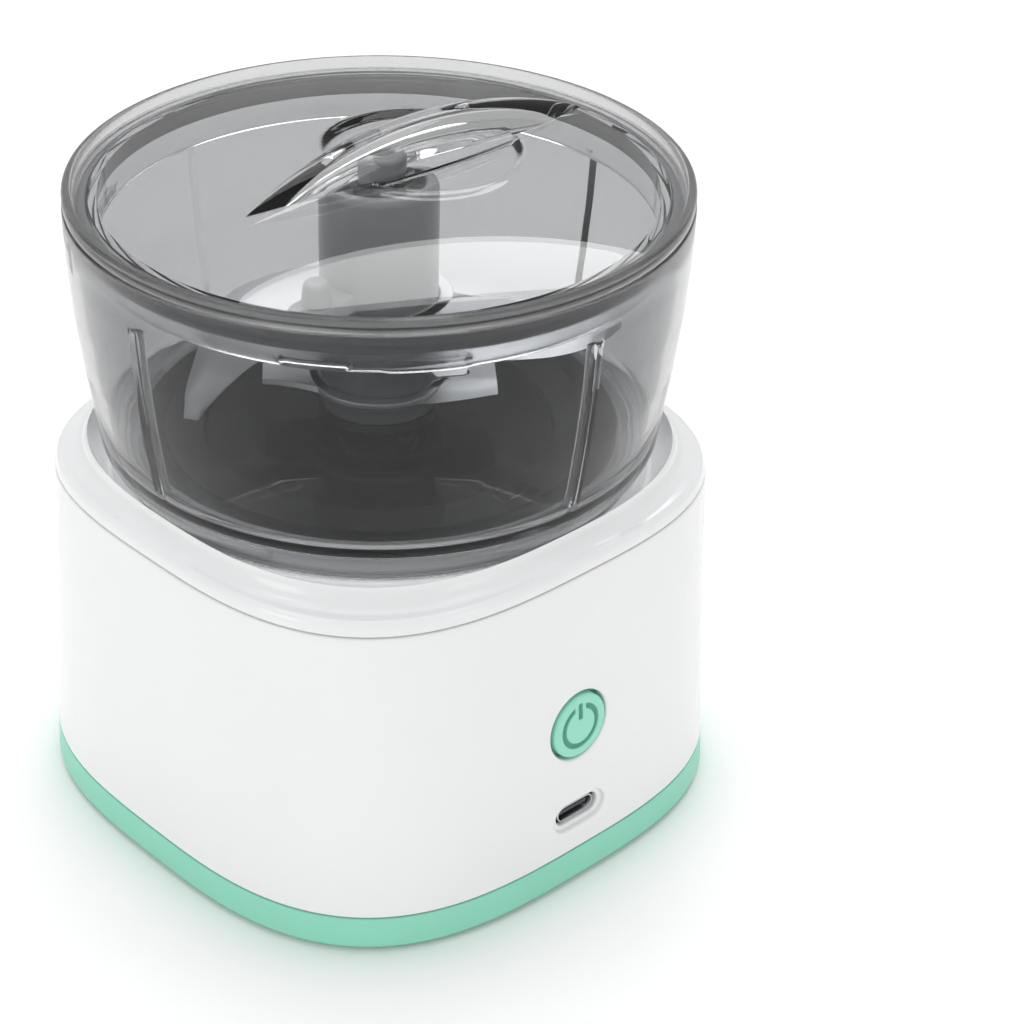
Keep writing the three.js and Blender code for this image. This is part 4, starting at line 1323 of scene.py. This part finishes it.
@dataclass
class Bowl:
    """The smoke bowl: a turned wall with four upright ribs, lid ledges, skirt lugs and a centre post."""

    skirt: float = 48.0
    skirt_inner: float = 46.3
    floor: float = 76.0
    underside: float = 74.0
    post_foot: float = 9.0
    post: float = 6.4
    post_bore: float = 4.5
    post_top: float = 96.4
    bush_seat: float = 7.4
    rib: Relief = Relief(0.0, math.degrees(1.0 / 52.0) + 0.35, 0.7, 1.7)
    rib_top: float = 111.2
    ledge: Relief = Relief(57.0, 8.0, 1.5, 1.9)
    ledge_levels: tuple[float, float] = (113.2, 115.0)
    lug: Relief = Relief(-8.0, 6.5, 1.0, 1.4)
    lug_levels: tuple[float, float] = (69.5, 71.7)
    key: Relief = Relief(90.0, 5.0, 0.6, 1.9)
    key_radii: tuple[float, float] = (34.4, 37.6)

    def angles(self) -> np.ndarray:
        """Angles of the columns in radians, closer together at the ribs."""
        coarse = np.arange(0.0, 360.0, 1.0)
        near = np.concatenate([np.arange(-2.1, 2.11, 0.3) + turn for turn in QUARTERS]) % 360.0
        return np.radians(np.unique(np.round(np.concatenate([coarse, near]), 4)))

    def build(self) -> None:
        """Builds the bowl as one closed skin: a turned profile, its raised features pushed along the normal."""
        low, high = span("bowl")
        foot, rim = float(low[2]), float(high[2])
        skirt, floor, under, post, bore = self.skirt, self.floor, self.underside, self.post, self.post_bore
        outside = [
            Corner(skirt, foot, 0.5, tag="skirt"), Corner(skirt, 72.3, 0.3), Corner(49.9, 72.5, 0.9),
            Corner(51.15, 74.9, 1.5), Corner(52.0, 80.6, 30.0), Corner(53.5, 90.6, 60.0),
            Corner(54.8, 101.6, 60.0), Corner(55.45, 111.0, 60.0), Corner(55.6, rim, 0.5),
        ]
        inside = [
            Corner(53.6, rim, 0.5, tag="in"), Corner(53.4, 110.4, 60.0, tag="in"),
            Corner(52.8, 101.6, 60.0, tag="in"), Corner(51.5, 90.6, 60.0, tag="in"),
            Corner(50.0, 81.0, 30.0, tag="in"), Corner(48.9, floor, 3.2, tag="floor"),
        ]
        centre_post = [
            Corner(self.post_foot, floor, 0.4), Corner(self.post_foot, floor + 2.6, 0.5),
            Corner(post, 79.4, 0.3), Corner(post, self.post_top, 0.3),
            Corner(bore, self.post_top, 0.2), Corner(bore, floor + 1.0),
            Corner(self.bush_seat, floor + 1.0), Corner(self.bush_seat, under, 0.3, tag="under"),
        ]
        skirt_back = [Corner(self.skirt_inner, under, 0.5, tag="lug"), Corner(self.skirt_inner, foot, 0.4)]
        corners = outside + inside + centre_post + skirt_back
        rows, tags = Profile(corners, step=1.7, arc_steps=4).points()
        angle = self.angles()
        degrees = np.degrees(angle)
        normal = np.gradient(rows[:, :2], axis=0)
        normal = np.stack([normal[:, 1], -normal[:, 0]], axis=1)
        normal /= np.maximum(np.linalg.norm(normal, axis=1, keepdims=True), 1e-9)
        up = rows[:, 1]
        inner = (tags == "in") | ((tags == "floor") & (rows[:, 0] > 45.0))
        rib_rows = inner * (1.0 - smooth(self.rib_top - 0.8, self.rib_top, up)) * smooth(75.9, 76.6, up)
        ledge_rows = (tags == "in") * plateau(*self.ledge_levels, 0.35, up)
        lug_rows = (tags == "lug") * plateau(*self.lug_levels, 0.3, up)
        key_rows = (tags == "under") * plateau(*self.key_radii, 0.4, rows[:, 0])
        push = (rib_rows[:, None] * self.rib.repeat(QUARTERS, degrees)
                + ledge_rows[:, None] * self.ledge.repeat(QUARTERS, degrees)
                + lug_rows[:, None] * self.lug.repeat(QUARTERS, degrees)
                + key_rows[:, None] * self.key.repeat((0.0, 180.0), degrees))
        points = revolve(rows, angle)
        out = rows[:, 0, None] + push * normal[:, 0, None]
        points[..., 0] = out * np.cos(angle)
        points[..., 1] = out * np.sin(angle)
        points[..., 2] = up[:, None] + push * normal[:, 1, None]
        # Rim and skirt bands: frosted, with a lighter tint that is painted light, standing in for the pale look
        # of the wall seen edge-on.
        pale = np.maximum(smooth(112.0, 118.0, up), 1.0 - smooth(73.0, 77.5, up)) * (rows[:, 0] > 44.0)
        pale = np.broadcast_to(pale[:, None], push.shape)
        Skin("bowl_skin").grid(points, close=True, paint=pale).piece(
            Body.BOWL, Slot.SMOKE, Finishes.smoke, ["bowl"], sharp=60.0)


# ---------------------------------------------------------------- lid


@dataclass
class Lid:
    """The smoke lid: rim, plug skirt with lugs, domed top with a finger dish and a leaf-shaped grip."""

    dome_edge: float = 53.4
    dome_edge_up: float = 120.9
    dome_rise: float = 4.6
    thickness: float = 2.0
    grip_from: float = -30.0
    grip_to: float = 50.0
    grip_half: float = 7.0
    grip_wall: float = 1.4
    dish_radius: float = 18.3
    dish_depth: float = 0.9
    rim_top: float = 122.9
    rim_under: float = 120.3
    rim_reach: float = 55.5
    skirt_out: float = 50.8
    skirt_in: float = 49.2
    lug: Relief = Relief(37.0, 7.0, 1.2, 1.8)
    lug_levels: tuple[float, float] = (111.4, 113.1)
    arch_power: float = 0.9
    side_power: float = 1.7
    crowding: float = 0.75
    crest_wall: float = 1.6
    tip_shrink: float = 4.0
    columns: int = 480

    @property
    def grip_middle(self) -> float:
        """Where the middle of the grip is along x."""
        return (self.grip_from + self.grip_to) / 2.0

    def grip_reach(self, inset: float) -> float:
        """Half length of the grip, shortened by a wall's inset at both tips."""
        return (self.grip_to - self.grip_from) / 2.0 - self.tip_shrink * inset

    def dome(self, r: np.ndarray) -> np.ndarray:
        """Height of the dome: edge + rise * (1 - (r / edge radius)^2).

        Args:
            r: Radii.

        Returns:
            The height at each radius.
        """
        return self.dome_edge_up + self.dome_rise * (1.0 - (r / self.dome_edge) ** 2)

    def leaf(self, inset: float) -> tuple[np.ndarray, np.ndarray]:
        """Outline of the grip: x runs as a cosine from tip to tip, and its half width is a parabola of x.

        Args:
            inset: How far inside the outer outline.

        Returns:
            x and y of its points.
        """
        turn = around(self.columns)
        along = np.cos(turn)
        half = (self.grip_half - inset) * (1.0 - along ** 2)
        return self.grip_middle + self.grip_reach(inset) * along, half * np.sign(np.sin(turn))

    def crest(self, x: np.ndarray, top: float, inset: float) -> np.ndarray:
        """Height of the grip above the dome: rise * (1 - (x / reach)^2)^p, an arch from tip to tip.

        Args:
            x: Places along the grip.
            top: Level of the crest's highest point.
            inset: How far inside the outer skin.

        Returns:
            The height at each place.
        """
        share = (x - self.grip_middle) / self.grip_reach(inset)
        arch = np.clip(1.0 - share ** 2, 0.0, 1.0) ** self.arch_power
        return (top - self.dome(np.abs(self.grip_middle))) * arch

    def grip_rows(self, top: float, inset: float, drop: float, steps: int) -> np.ndarray:
        """Rings from the crest line down to the outline; the side is (1 - t^p)^(1/p) of the crest's height.

        Args:
            top: Level of the crest's highest point.
            inset: How far inside the outer outline.
            drop: How far below the dome the rings stand.
            steps: Number of rings.

        Returns:
            Grid of rings by points by 3.
        """
        x, y = self.leaf(inset)
        share = np.linspace(0.0, 1.0, steps) ** self.crowding
        power = self.side_power
        grid = []
        for t in share:
            side = (1.0 - t ** power) ** (1.0 / power)
            z = self.dome(np.hypot(x, y * t)) - drop + self.crest(x, top, inset) * side
            grid.append(np.stack([x, y * t, z], axis=-1))
        return np.stack(grid)

    def dome_rows(self, inset: float, drop: float, edge: float, steps: int, dish: bool) -> np.ndarray:
        """Rings that run straight from the grip's outline to a circle, on the dome.

        Args:
            inset: How far inside the outer outline they start.
            drop: How far below the dome they stand.
            edge: Radius of the circle.
            steps: Number of rings.
            dish: Sinks the finger dish under the grip.

        Returns:
            Grid of rings by points by 3.
        """
        x, y = self.leaf(inset)
        turn = around(self.columns)
        grid = []
        for t in np.linspace(0.0, 1.0, steps):
            px = x + (edge * np.cos(turn) - x) * t
            py = y + (edge * np.sin(turn) - y) * t
            z = self.dome(np.hypot(px, py)) - drop
            if dish:
                away = np.hypot(px - self.grip_middle, py)
                z = z - self.dish_depth * (1.0 - smooth(self.dish_radius - 1.6, self.dish_radius, away))
            grid.append(np.stack([px, py, z], axis=-1))
        return np.stack(grid)

    def build(self) -> None:
        """Builds the lid as one closed skin from the grip's crest, over the rim and back under the grip."""
        low, high = span("lid")
        top, foot = float(high[2]), float(low[2])
        edge, reach, under = self.dome_edge, self.rim_reach, self.rim_under
        skirt_out, skirt_in = self.skirt_out, self.skirt_in
        corners = [
            Corner(edge, self.dome_edge_up + 0.01), Corner(edge + 0.45, self.rim_top, 0.45),
            Corner(reach, self.rim_top, 0.9), Corner(reach - 0.05, under, 0.3),
            Corner(skirt_out, under, 0.3, tag="skirt"), Corner(skirt_out, foot, 0.4),
            Corner(skirt_in, foot, 0.4), Corner(skirt_in, float(self.dome(skirt_in)) - self.thickness),
        ]
        rows, tags = Profile(corners, step=0.7, closed=False, arc_steps=5).points()
        angle = around(self.columns)
        rim = revolve(rows, angle)
        lug_rows = (tags == "skirt") * plateau(*self.lug_levels, 0.25, rows[:, 1])
        push = lug_rows[:, None] * self.lug.repeat(QUARTERS, np.degrees(angle))
        rim[..., 0] += push * np.cos(angle)
        rim[..., 1] += push * np.sin(angle)
        inset = self.grip_wall
        outer_grip = self.grip_rows(top, 0.0, 0.0, 16)
        outer_dome = self.dome_rows(0.0, 0.0, edge, 60, True)
        under_dome = self.dome_rows(inset, self.thickness, skirt_in, 30, False)[::-1]
        inner_grip = self.grip_rows(top - self.crest_wall, inset, self.thickness, 12)[::-1]
        outer_dome[0, :, 2] = outer_grip[-1, :, 2]
        points = np.vstack([outer_grip, outer_dome[1:], rim[1:], under_dome[1:], inner_grip[1:]])
        # The rim band: frosted, with a darker tint that is painted shade, toning down how bright the frosted
        # rim looks.
        pale = smooth(51.5, 53.5, np.hypot(points[..., 0], points[..., 1]))
        Skin("lid_skin").grid(points, paint=pale).piece(
            Body.LID, Slot.SMOKE, Finishes.smoke_lid, ["lid"], sharp=55.0)

    def gasket(self) -> None:
        """The dark seal ring: two lips round a flat band."""
        low, high = span("lid_gasket")
        bottom, top = float(low[2]), float(high[2])
        middle = (bottom + top) / 2.0
        corners = [
            Corner(51.1, bottom, 0.3), Corner(52.8, bottom + 0.2, 0.4), Corner(52.3, bottom + 1.1, 0.3),
            Corner(53.0, middle, 0.4), Corner(52.3, middle + 0.9, 0.3), Corner(52.9, top - 0.3, 0.4),
            Corner(51.1, top, 0.3),
        ]
        rows, _ = Profile(corners, step=1.0).points()
        Skin("lid_gasket_skin").grid(revolve(rows, around(360)), close=True).piece(
            Body.SEAL, Slot.RUBBER, Finishes.silicone, ["lid_gasket"])


# ---------------------------------------------------------------- blade unit


def through(points: Sequence[tuple[float, float]], share: np.ndarray) -> np.ndarray:
    """Smooth curve through points: cubic pieces whose slopes are the chords of both neighbours.

    Args:
        points: The points, spread evenly over shares 0..1.
        share: Shares to read the curve at.

    Returns:
        A point for each share.
    """
    knots = np.array(points, dtype=float)
    slopes = np.gradient(knots, axis=0)
    place = np.clip(share, 0.0, 1.0) * (len(knots) - 1)
    i = np.minimum(place.astype(int), len(knots) - 2)
    t = (place - i)[:, None]
    return ((2 * t ** 3 - 3 * t ** 2 + 1) * knots[i] + (t ** 3 - 2 * t ** 2 + t) * slopes[i]
            + (3 * t ** 2 - 2 * t ** 3) * knots[i + 1] + (t ** 3 - t ** 2) * slopes[i + 1])


@dataclass
class Wing:
    """One blade wing, between a ground leading edge and a trailing edge.

    Both edges are given as (angle in degrees, radius) points from the hub to the tip.
    """

    lead: Sequence[tuple[float, float]]
    trail: Sequence[tuple[float, float]]
    level: float
    drop: float = 0.0
    drop_from: float = 0.4
    drop_to: float = 1.15
    thick: float = 1.2
    bevel: float = 0.22
    stations: int = 72

    def ground(self) -> np.ndarray:
        """Where the steel is painted bright, a painted reflection.

        Returns:
            Share of the bright tone, a painted reflection, at each point: 1 on the ground bevel and on the
            whole bent tip.
        """
        share = np.concatenate([[0.0], np.linspace(0.0, 1.0, self.stations), [1.0]])
        tip = smooth(self.drop_from + 0.2, self.drop_from + 0.3, share) if self.drop else np.zeros(len(share))
        bevel = np.array([0.0, 0.0, 0.0, 0.0, 1.0, 1.0, 1.0, 0.0, 0.0, 0.0, 0.0])
        return np.maximum(bevel[None, :], tip[:, None])

    def points(self) -> np.ndarray:
        """Rings of the wing's section.

        Each station joins a point of the trailing edge to one of the leading edge. The section is a bar that is
        ground down over its last part. The height falls by the drop, as a smooth step of the share along.

        Returns:
            Grid of rings by points by 3.
        """
        t = np.linspace(0.0, 1.0, self.stations)
        lead, trail = through(self.lead, t), through(self.trail, t)
        edges = [e[:, 1:] * np.stack([np.cos(np.radians(e[:, 0])), np.sin(np.radians(e[:, 0]))], axis=1)
                 for e in (trail, lead)]
        ground = 1.0 - self.bevel
        across = np.array([0.0, 0.02, 0.3, 0.6, ground, 1.0 - self.bevel / 2, 1.0, 0.98, 0.6, 0.3, 0.02])
        height = np.array([0.3, 1.0, 1.0, 1.0, 1.0, 0.55, 0.12, 0.0, 0.0, 0.0, 0.0])
        near, far = edges[0][:, None, :], edges[1][:, None, :]
        flat = near * (1 - across)[None, :, None] + far * across[None, :, None]
        step = smooth(self.drop_from, self.drop_to, np.append(t, 1.0))
        fall = self.level - self.drop * step[:-1] / step[-1]
        up = fall[:, None] + height[None, :] * self.thick
        ring = np.concatenate([flat, up[..., None]], axis=-1)
        ends = [np.broadcast_to(r.mean(axis=0), r.shape)[None] for r in (ring[0], ring[-1])]
        return np.concatenate([ends[0], ring, ends[1]])


@dataclass
class BladeUnit:
    """The grey hub with its foot ring and the two steel blades."""

    right_lead: tuple[tuple[float, float], ...] = (
        (-176.0, 12.2), (-146.0, 15.2), (-121.0, 19.8), (-104.0, 24.6), (-88.0, 30.8), (-75.0, 37.4),
        (-63.0, 41.9),
        (-54.5, 43.9))
    right_trail: tuple[tuple[float, float], ...] = (
        (-60.0, 12.2), (-50.0, 15.0), (-47.0, 19.5), (-46.5, 24.5), (-47.0, 30.0), (-48.5, 35.5),
        (-50.5, 40.0),
        (-52.8, 43.4))
    left_lead: tuple[tuple[float, float], ...] = (
        (60.0, 12.2), (92.0, 17.0), (116.0, 22.0), (134.0, 26.6), (146.0, 30.6), (154.0, 34.0), (158.5, 36.6),
        (160.5, 37.4))
    left_trail: tuple[tuple[float, float], ...] = (
        (236.0, 12.2), (216.0, 15.0), (201.0, 18.8), (190.0, 22.6), (180.0, 26.2), (172.0, 29.6),
        (166.0, 32.6),
        (163.5, 35.4))
    lower_lead: tuple[tuple[float, float], ...] = (
        (-104.0, 12.0), (-80.0, 16.0), (-66.0, 20.0), (-60.0, 22.6))
    lower_trail: tuple[tuple[float, float], ...] = ((-2.0, 12.0), (-18.0, 15.0), (-27.0, 18.5), (-31.0, 21.5))
    arm_angle: float = -171.0
    arm: tuple[float, float, float] = (9.0, 21.5, 3.6)
    pin_radius: float = 17.0
    tube: float = 10.7
    tube_bore: float = 9.3
    crown: float = 121.4
    crown_well: float = 4.5
    shoulders: tuple[tuple[float, float], ...] = ((12.0, 82.0), (12.4, 97.0))
    blade_thickness: float = 1.2

    def hub(self) -> None:
        """The turned hub: tube, two shoulders, and an open top round its spigot."""
        low, high = span("blade_hub")
        foot, top = float(low[2]), float(high[2])
        tube, bore, crown = self.tube, self.tube_bore, self.crown
        well = crown - self.crown_well
        corners = [Corner(bore, foot, 0.3), Corner(tube, foot, 0.3)]
        for out, up in self.shoulders:
            corners += [Corner(tube, up - 0.6, 0.4), Corner(out, up, 0.3), Corner(out, up + 0.9, 0.3),
                        Corner(tube, up + 0.9)]
        corners += [
            Corner(tube, crown, 1.7), Corner(8.2, crown, 0.7), Corner(8.2, well, 0.5), Corner(4.6, well, 0.5),
            Corner(4.4, top, 1.0), Corner(2.2, top, 0.4), Corner(2.2, top - 3.0, 0.3), Corner(0.0, top - 3.0),
        ]
        rows, _ = Profile(corners, step=1.5, closed=False).points()
        inner = [Corner(0.0, 113.0), Corner(7.6, 113.0, 0.3), Corner(7.6, 100.0), Corner(bore, 98.0),
                 Corner(bore, foot + 0.01)]
        under, _ = Profile(inner, step=2.0, closed=False).points()
        points = revolve(np.vstack([rows, under]), around(160))
        upper = float(span("upper_blade")[1][2]) + 0.1
        turn = math.radians(self.arm_angle)
        pin, _ = Profile([Corner(0.0, upper + 3.0), Corner(2.9, upper + 3.0), Corner(2.3, upper + 8.6, 1.3),
                          Corner(0.0, upper + 8.6)], step=1.0, closed=False).points()
        place = self.pin_radius * np.array([math.cos(turn), math.sin(turn), 0.0])
        boss = revolve(pin, around(48)) + place
        Skin("hub_skin").grid(points, close=True).grid(self.arm_points(upper)).grid(boss).piece(
            Body.ROTOR, Slot.HUB, Finishes.hub, ["blade_hub"])

    def ring(self) -> None:
        """The black ring at the hub's foot."""
        low, high = span("hub_foot_ring")
        inner, outer = self.tube_bore, self.tube + 0.25
        corners = [Corner(inner, low[2], 0.3), Corner(outer, low[2], 0.4), Corner(outer, high[2], 0.4),
                   Corner(inner, high[2], 0.3)]
        rows, _ = Profile(corners, step=0.7).points()
        Skin("hub_ring_skin").grid(revolve(rows, around(160)), close=True).piece(
            Body.ROTOR, Slot.RUBBER, Finishes.rubber, ["hub_foot_ring"])

    def blade(self, node: str, outer: float, wings: Sequence[Wing]) -> None:
        """A blade: its flat mounting ring and its wings, as one piece.

        Args:
            node: The CAD blade that it stands for.
            outer: Radius of its ring.
            wings: Its wings.
        """
        level = float(span(node)[0][2])
        inner, top = self.tube + 0.3, level + self.blade_thickness
        corners = [Corner(inner, level, 0.15), Corner(outer, level, 0.3), Corner(outer, top, 0.3),
                   Corner(inner, top, 0.15)]
        rows, _ = Profile(corners, step=0.8).points()
        skin = Skin(f"{node}_skin").grid(revolve(rows, around(160)), close=True)
        for wing in wings:
            # Painted reflection: a bright tone on each wing's ground bevel and bent tip.
            skin.grid(wing.points(), paint=wing.ground())
        skin.piece(Body.ROTOR, Slot.BLADE, Finishes.blade, [node], sharp=25.0)

    def arm_points(self, level: float) -> np.ndarray:
        """The hub's stub arm: level superellipse rings from its foot to its narrower top.

        Args:
            level: Height of its foot.

        Returns:
            Grid of rings by points by 3.
        """
        near, far, half = self.arm
        angle = around(64)
        levels = np.array([0.0, 0.0, 0.3, 3.4, 3.9, 4.1, 4.1])
        grow = np.array([-9.0, -0.3, 0.0, 0.0, -0.25, -0.8, -9.0])
        length = np.maximum((far - near) / 2.0 + grow, 0.0)[:, None]
        width = np.maximum(half + grow, 0.0)[:, None]
        c, s = np.cos(angle)[None, :], np.sin(angle)[None, :]
        reach = 1.0 / (np.abs(c) ** 8 + np.abs(s) ** 8) ** 0.125
        x, y = (near + far) / 2.0 + length * c * reach, width * s * reach
        turn = math.radians(self.arm_angle)
        z = np.broadcast_to(level + levels[:, None], x.shape)
        cos, sin = math.cos(turn), math.sin(turn)
        return np.stack([x * cos - y * sin, x * sin + y * cos, z], axis=-1)

    def build(self) -> None:
        """Builds the hub, ring and blades."""
        self.hub()
        self.ring()
        upper = float(span("upper_blade")[0][2])
        lower = float(span("lower_blade")[0][2])
        self.blade("upper_blade", 13.4, [
            Wing(self.right_lead, self.right_trail, upper),
            Wing(self.left_lead, self.left_trail, upper, drop=16.0)])
        opposite = [tuple((angle + 180.0, r) for angle, r in edge)
                    for edge in (self.lower_lead, self.lower_trail)]
        self.blade("lower_blade", 13.0, [
            Wing(self.lower_lead, self.lower_trail, lower), Wing(opposite[0], opposite[1], lower)])


# ---------------------------------------------------------------- carried-over nodes


def dress_cad_nodes() -> None:
    """Gives every CAD node that still shows the finish of its slot."""
    for row in frame["record"]["subparts"]:
        node = frame["nodes"][row["node"]]
        node.data.materials.clear()
        node.data.materials.append(FINISH_OF[Slot(row["material_slot"])].material())


# ---------------------------------------------------------------- stage


@dataclass(frozen=True)
class Lamp:
    """A soft flat light: place and size in metres, power in watts, roll about its own axis in degrees."""

    name: str
    place: tuple[float, float, float]
    size: tuple[float, float]
    power: float
    roll: float = 0.0
    outline: Outline = Outline.BOX

    def hang(self, target: Sequence[float]) -> None:
        """Hangs the light, aimed at a target; its turn is a quaternion made from the angles z, x and z.

        Args:
            target: The point that it looks at.
        """
        data = bpy.data.lights.new(self.name, "AREA")
        data.shape = self.outline.value
        data.size, data.size_y = self.size
        data.energy = self.power
        made = bpy.data.objects.new(self.name, data)
        made.location = self.place
        away = np.array(self.place) - np.array(target)
        tilt = math.atan2(math.hypot(away[0], away[1]), away[2]) / 2.0
        turn, spin = math.atan2(away[0], -away[1]) / 2.0, math.radians(self.roll) / 2.0
        made.rotation_mode = "QUATERNION"
        upright, leaned = math.cos(tilt), math.sin(tilt)
        made.rotation_quaternion = (upright * math.cos(turn + spin), leaned * math.cos(turn - spin),
                                    leaned * math.sin(turn - spin), upright * math.sin(turn + spin))
        bpy.context.scene.collection.objects.link(made)


@dataclass
class Studio:
    """Floor, soft lights and camera."""

    target: tuple[float, float, float] = (0.0, 0.0, 0.0558)
    distance: float = 0.50592
    elevation: float = 31.43
    azimuth: float = -41.42
    lens: float = 94.68
    shift: tuple[float, float] = (0.1299, -0.0102)
    dim: float = 0.46
    bright: float = 0.82
    floor_half: float = 12.0
    floor_tones: tuple[float, float] = (0.96, 0.98)
    lamps: tuple[Lamp, ...] = (
        Lamp("overhead", (0.25, 0.28, 1.25), (1.25, 0.8), 10.5),
        Lamp("streak", (0.68, 0.62, 0.91), (0.62, 0.165), 0.95, roll=23.0, outline=Outline.OVAL),
        Lamp("left", (-1.5, 0.1, 0.75), (0.6, 0.9), 3.1),
        Lamp("right", (0.3, -1.5, 0.55), (0.5, 0.9), 1.3),
    )

    def camera(self) -> None:
        """The camera, aimed at the middle of the object's height."""
        data = bpy.data.cameras.new("camera")
        data.lens = self.lens
        data.sensor_width = 36.0
        data.shift_x, data.shift_y = self.shift
        made = bpy.data.objects.new("camera", data)
        turn, rise = math.radians(self.azimuth), math.radians(self.elevation)
        away = np.array([math.sin(turn) * math.cos(rise), -math.cos(turn) * math.cos(rise), math.sin(rise)])
        made.location = np.array(self.target) + away * self.distance
        made.rotation_euler = (math.pi / 2.0 - rise, 0.0, turn)
        bpy.context.scene.collection.objects.link(made)
        bpy.context.scene.camera = made

    def floor(self) -> None:
        """A wide pale floor."""
        material = bpy.data.materials.new("pale_floor")
        material.use_nodes = True
        graph = Graph(material.node_tree)
        shader = material.node_tree.nodes["Principled BSDF"]
        place = graph.node("ShaderNodeTexCoord").outputs["Object"]
        dark, pale = ((tone, tone, tone, 1.0) for tone in self.floor_tones)
        graph.feed(shader.inputs["Base Color"], graph.mix(graph.noise(place, 3.0), dark, pale))
        shader.inputs["Roughness"].default_value = 0.7
        size = self.floor_half
        mesh = bpy.data.meshes.new("floor")
        corners = [(-size, -size, 0), (size, -size, 0), (size, size, 0), (-size, size, 0)]
        mesh.from_pydata(corners, [], [(0, 1, 2, 3)])
        made = bpy.data.objects.new("floor", mesh)
        made.data.materials.append(material)
        bpy.context.scene.collection.objects.link(made)

    def world(self) -> None:
        """A surround bright on the camera's side and dim behind the object, and white where it is seen."""
        world = bpy.data.worlds.new("studio")
        world.use_nodes = True
        graph = Graph(world.node_tree)
        backdrop = world.node_tree.nodes["Background"]
        backdrop.inputs["Color"].default_value = (1.0, 1.0, 1.0, 1.0)
        turn = math.radians(self.azimuth)
        facing = graph.node("ShaderNodeVectorMath", operation="DOT_PRODUCT")
        graph.feed(facing.inputs[0], graph.node("ShaderNodeTexCoord").outputs["Generated"])
        facing.inputs[1].default_value = (math.sin(turn), -math.cos(turn), 0.15)
        ramp = graph.node("ShaderNodeMapRange", interpolation_type="SMOOTHSTEP")
        graph.feed(ramp.inputs["Value"], facing.outputs["Value"])
        ends = (("From Min", -0.2), ("From Max", 0.7), ("To Min", self.dim), ("To Max", self.bright))
        for name, value in ends:
            ramp.inputs[name].default_value = value
        seen = graph.node("ShaderNodeLightPath").outputs["Is Camera Ray"]
        graph.feed(backdrop.inputs["Strength"], graph.math("MAXIMUM", ramp.outputs["Result"], seen))
        bpy.context.scene.world = world

    def build(self) -> None:
        """Sets the stage."""
        self.camera()
        self.floor()
        self.world()
        for lamp in self.lamps:
            lamp.hang(self.target)
        bpy.context.scene.view_settings.view_transform = "Standard"


def main() -> None:
    """Builds every sub-assembly, in order."""
    Studio().build()
    dress_cad_nodes()
    base = Base()
    base.build()
    PowerButton().build(base)
    Port().build()
    Bowl().build()
    lid = Lid()
    lid.build()
    lid.gasket()
    BladeUnit().build()


if __name__ == "__main__":
    logging.basicConfig(level=logging.INFO, format="%(name)s %(message)s")
    main()
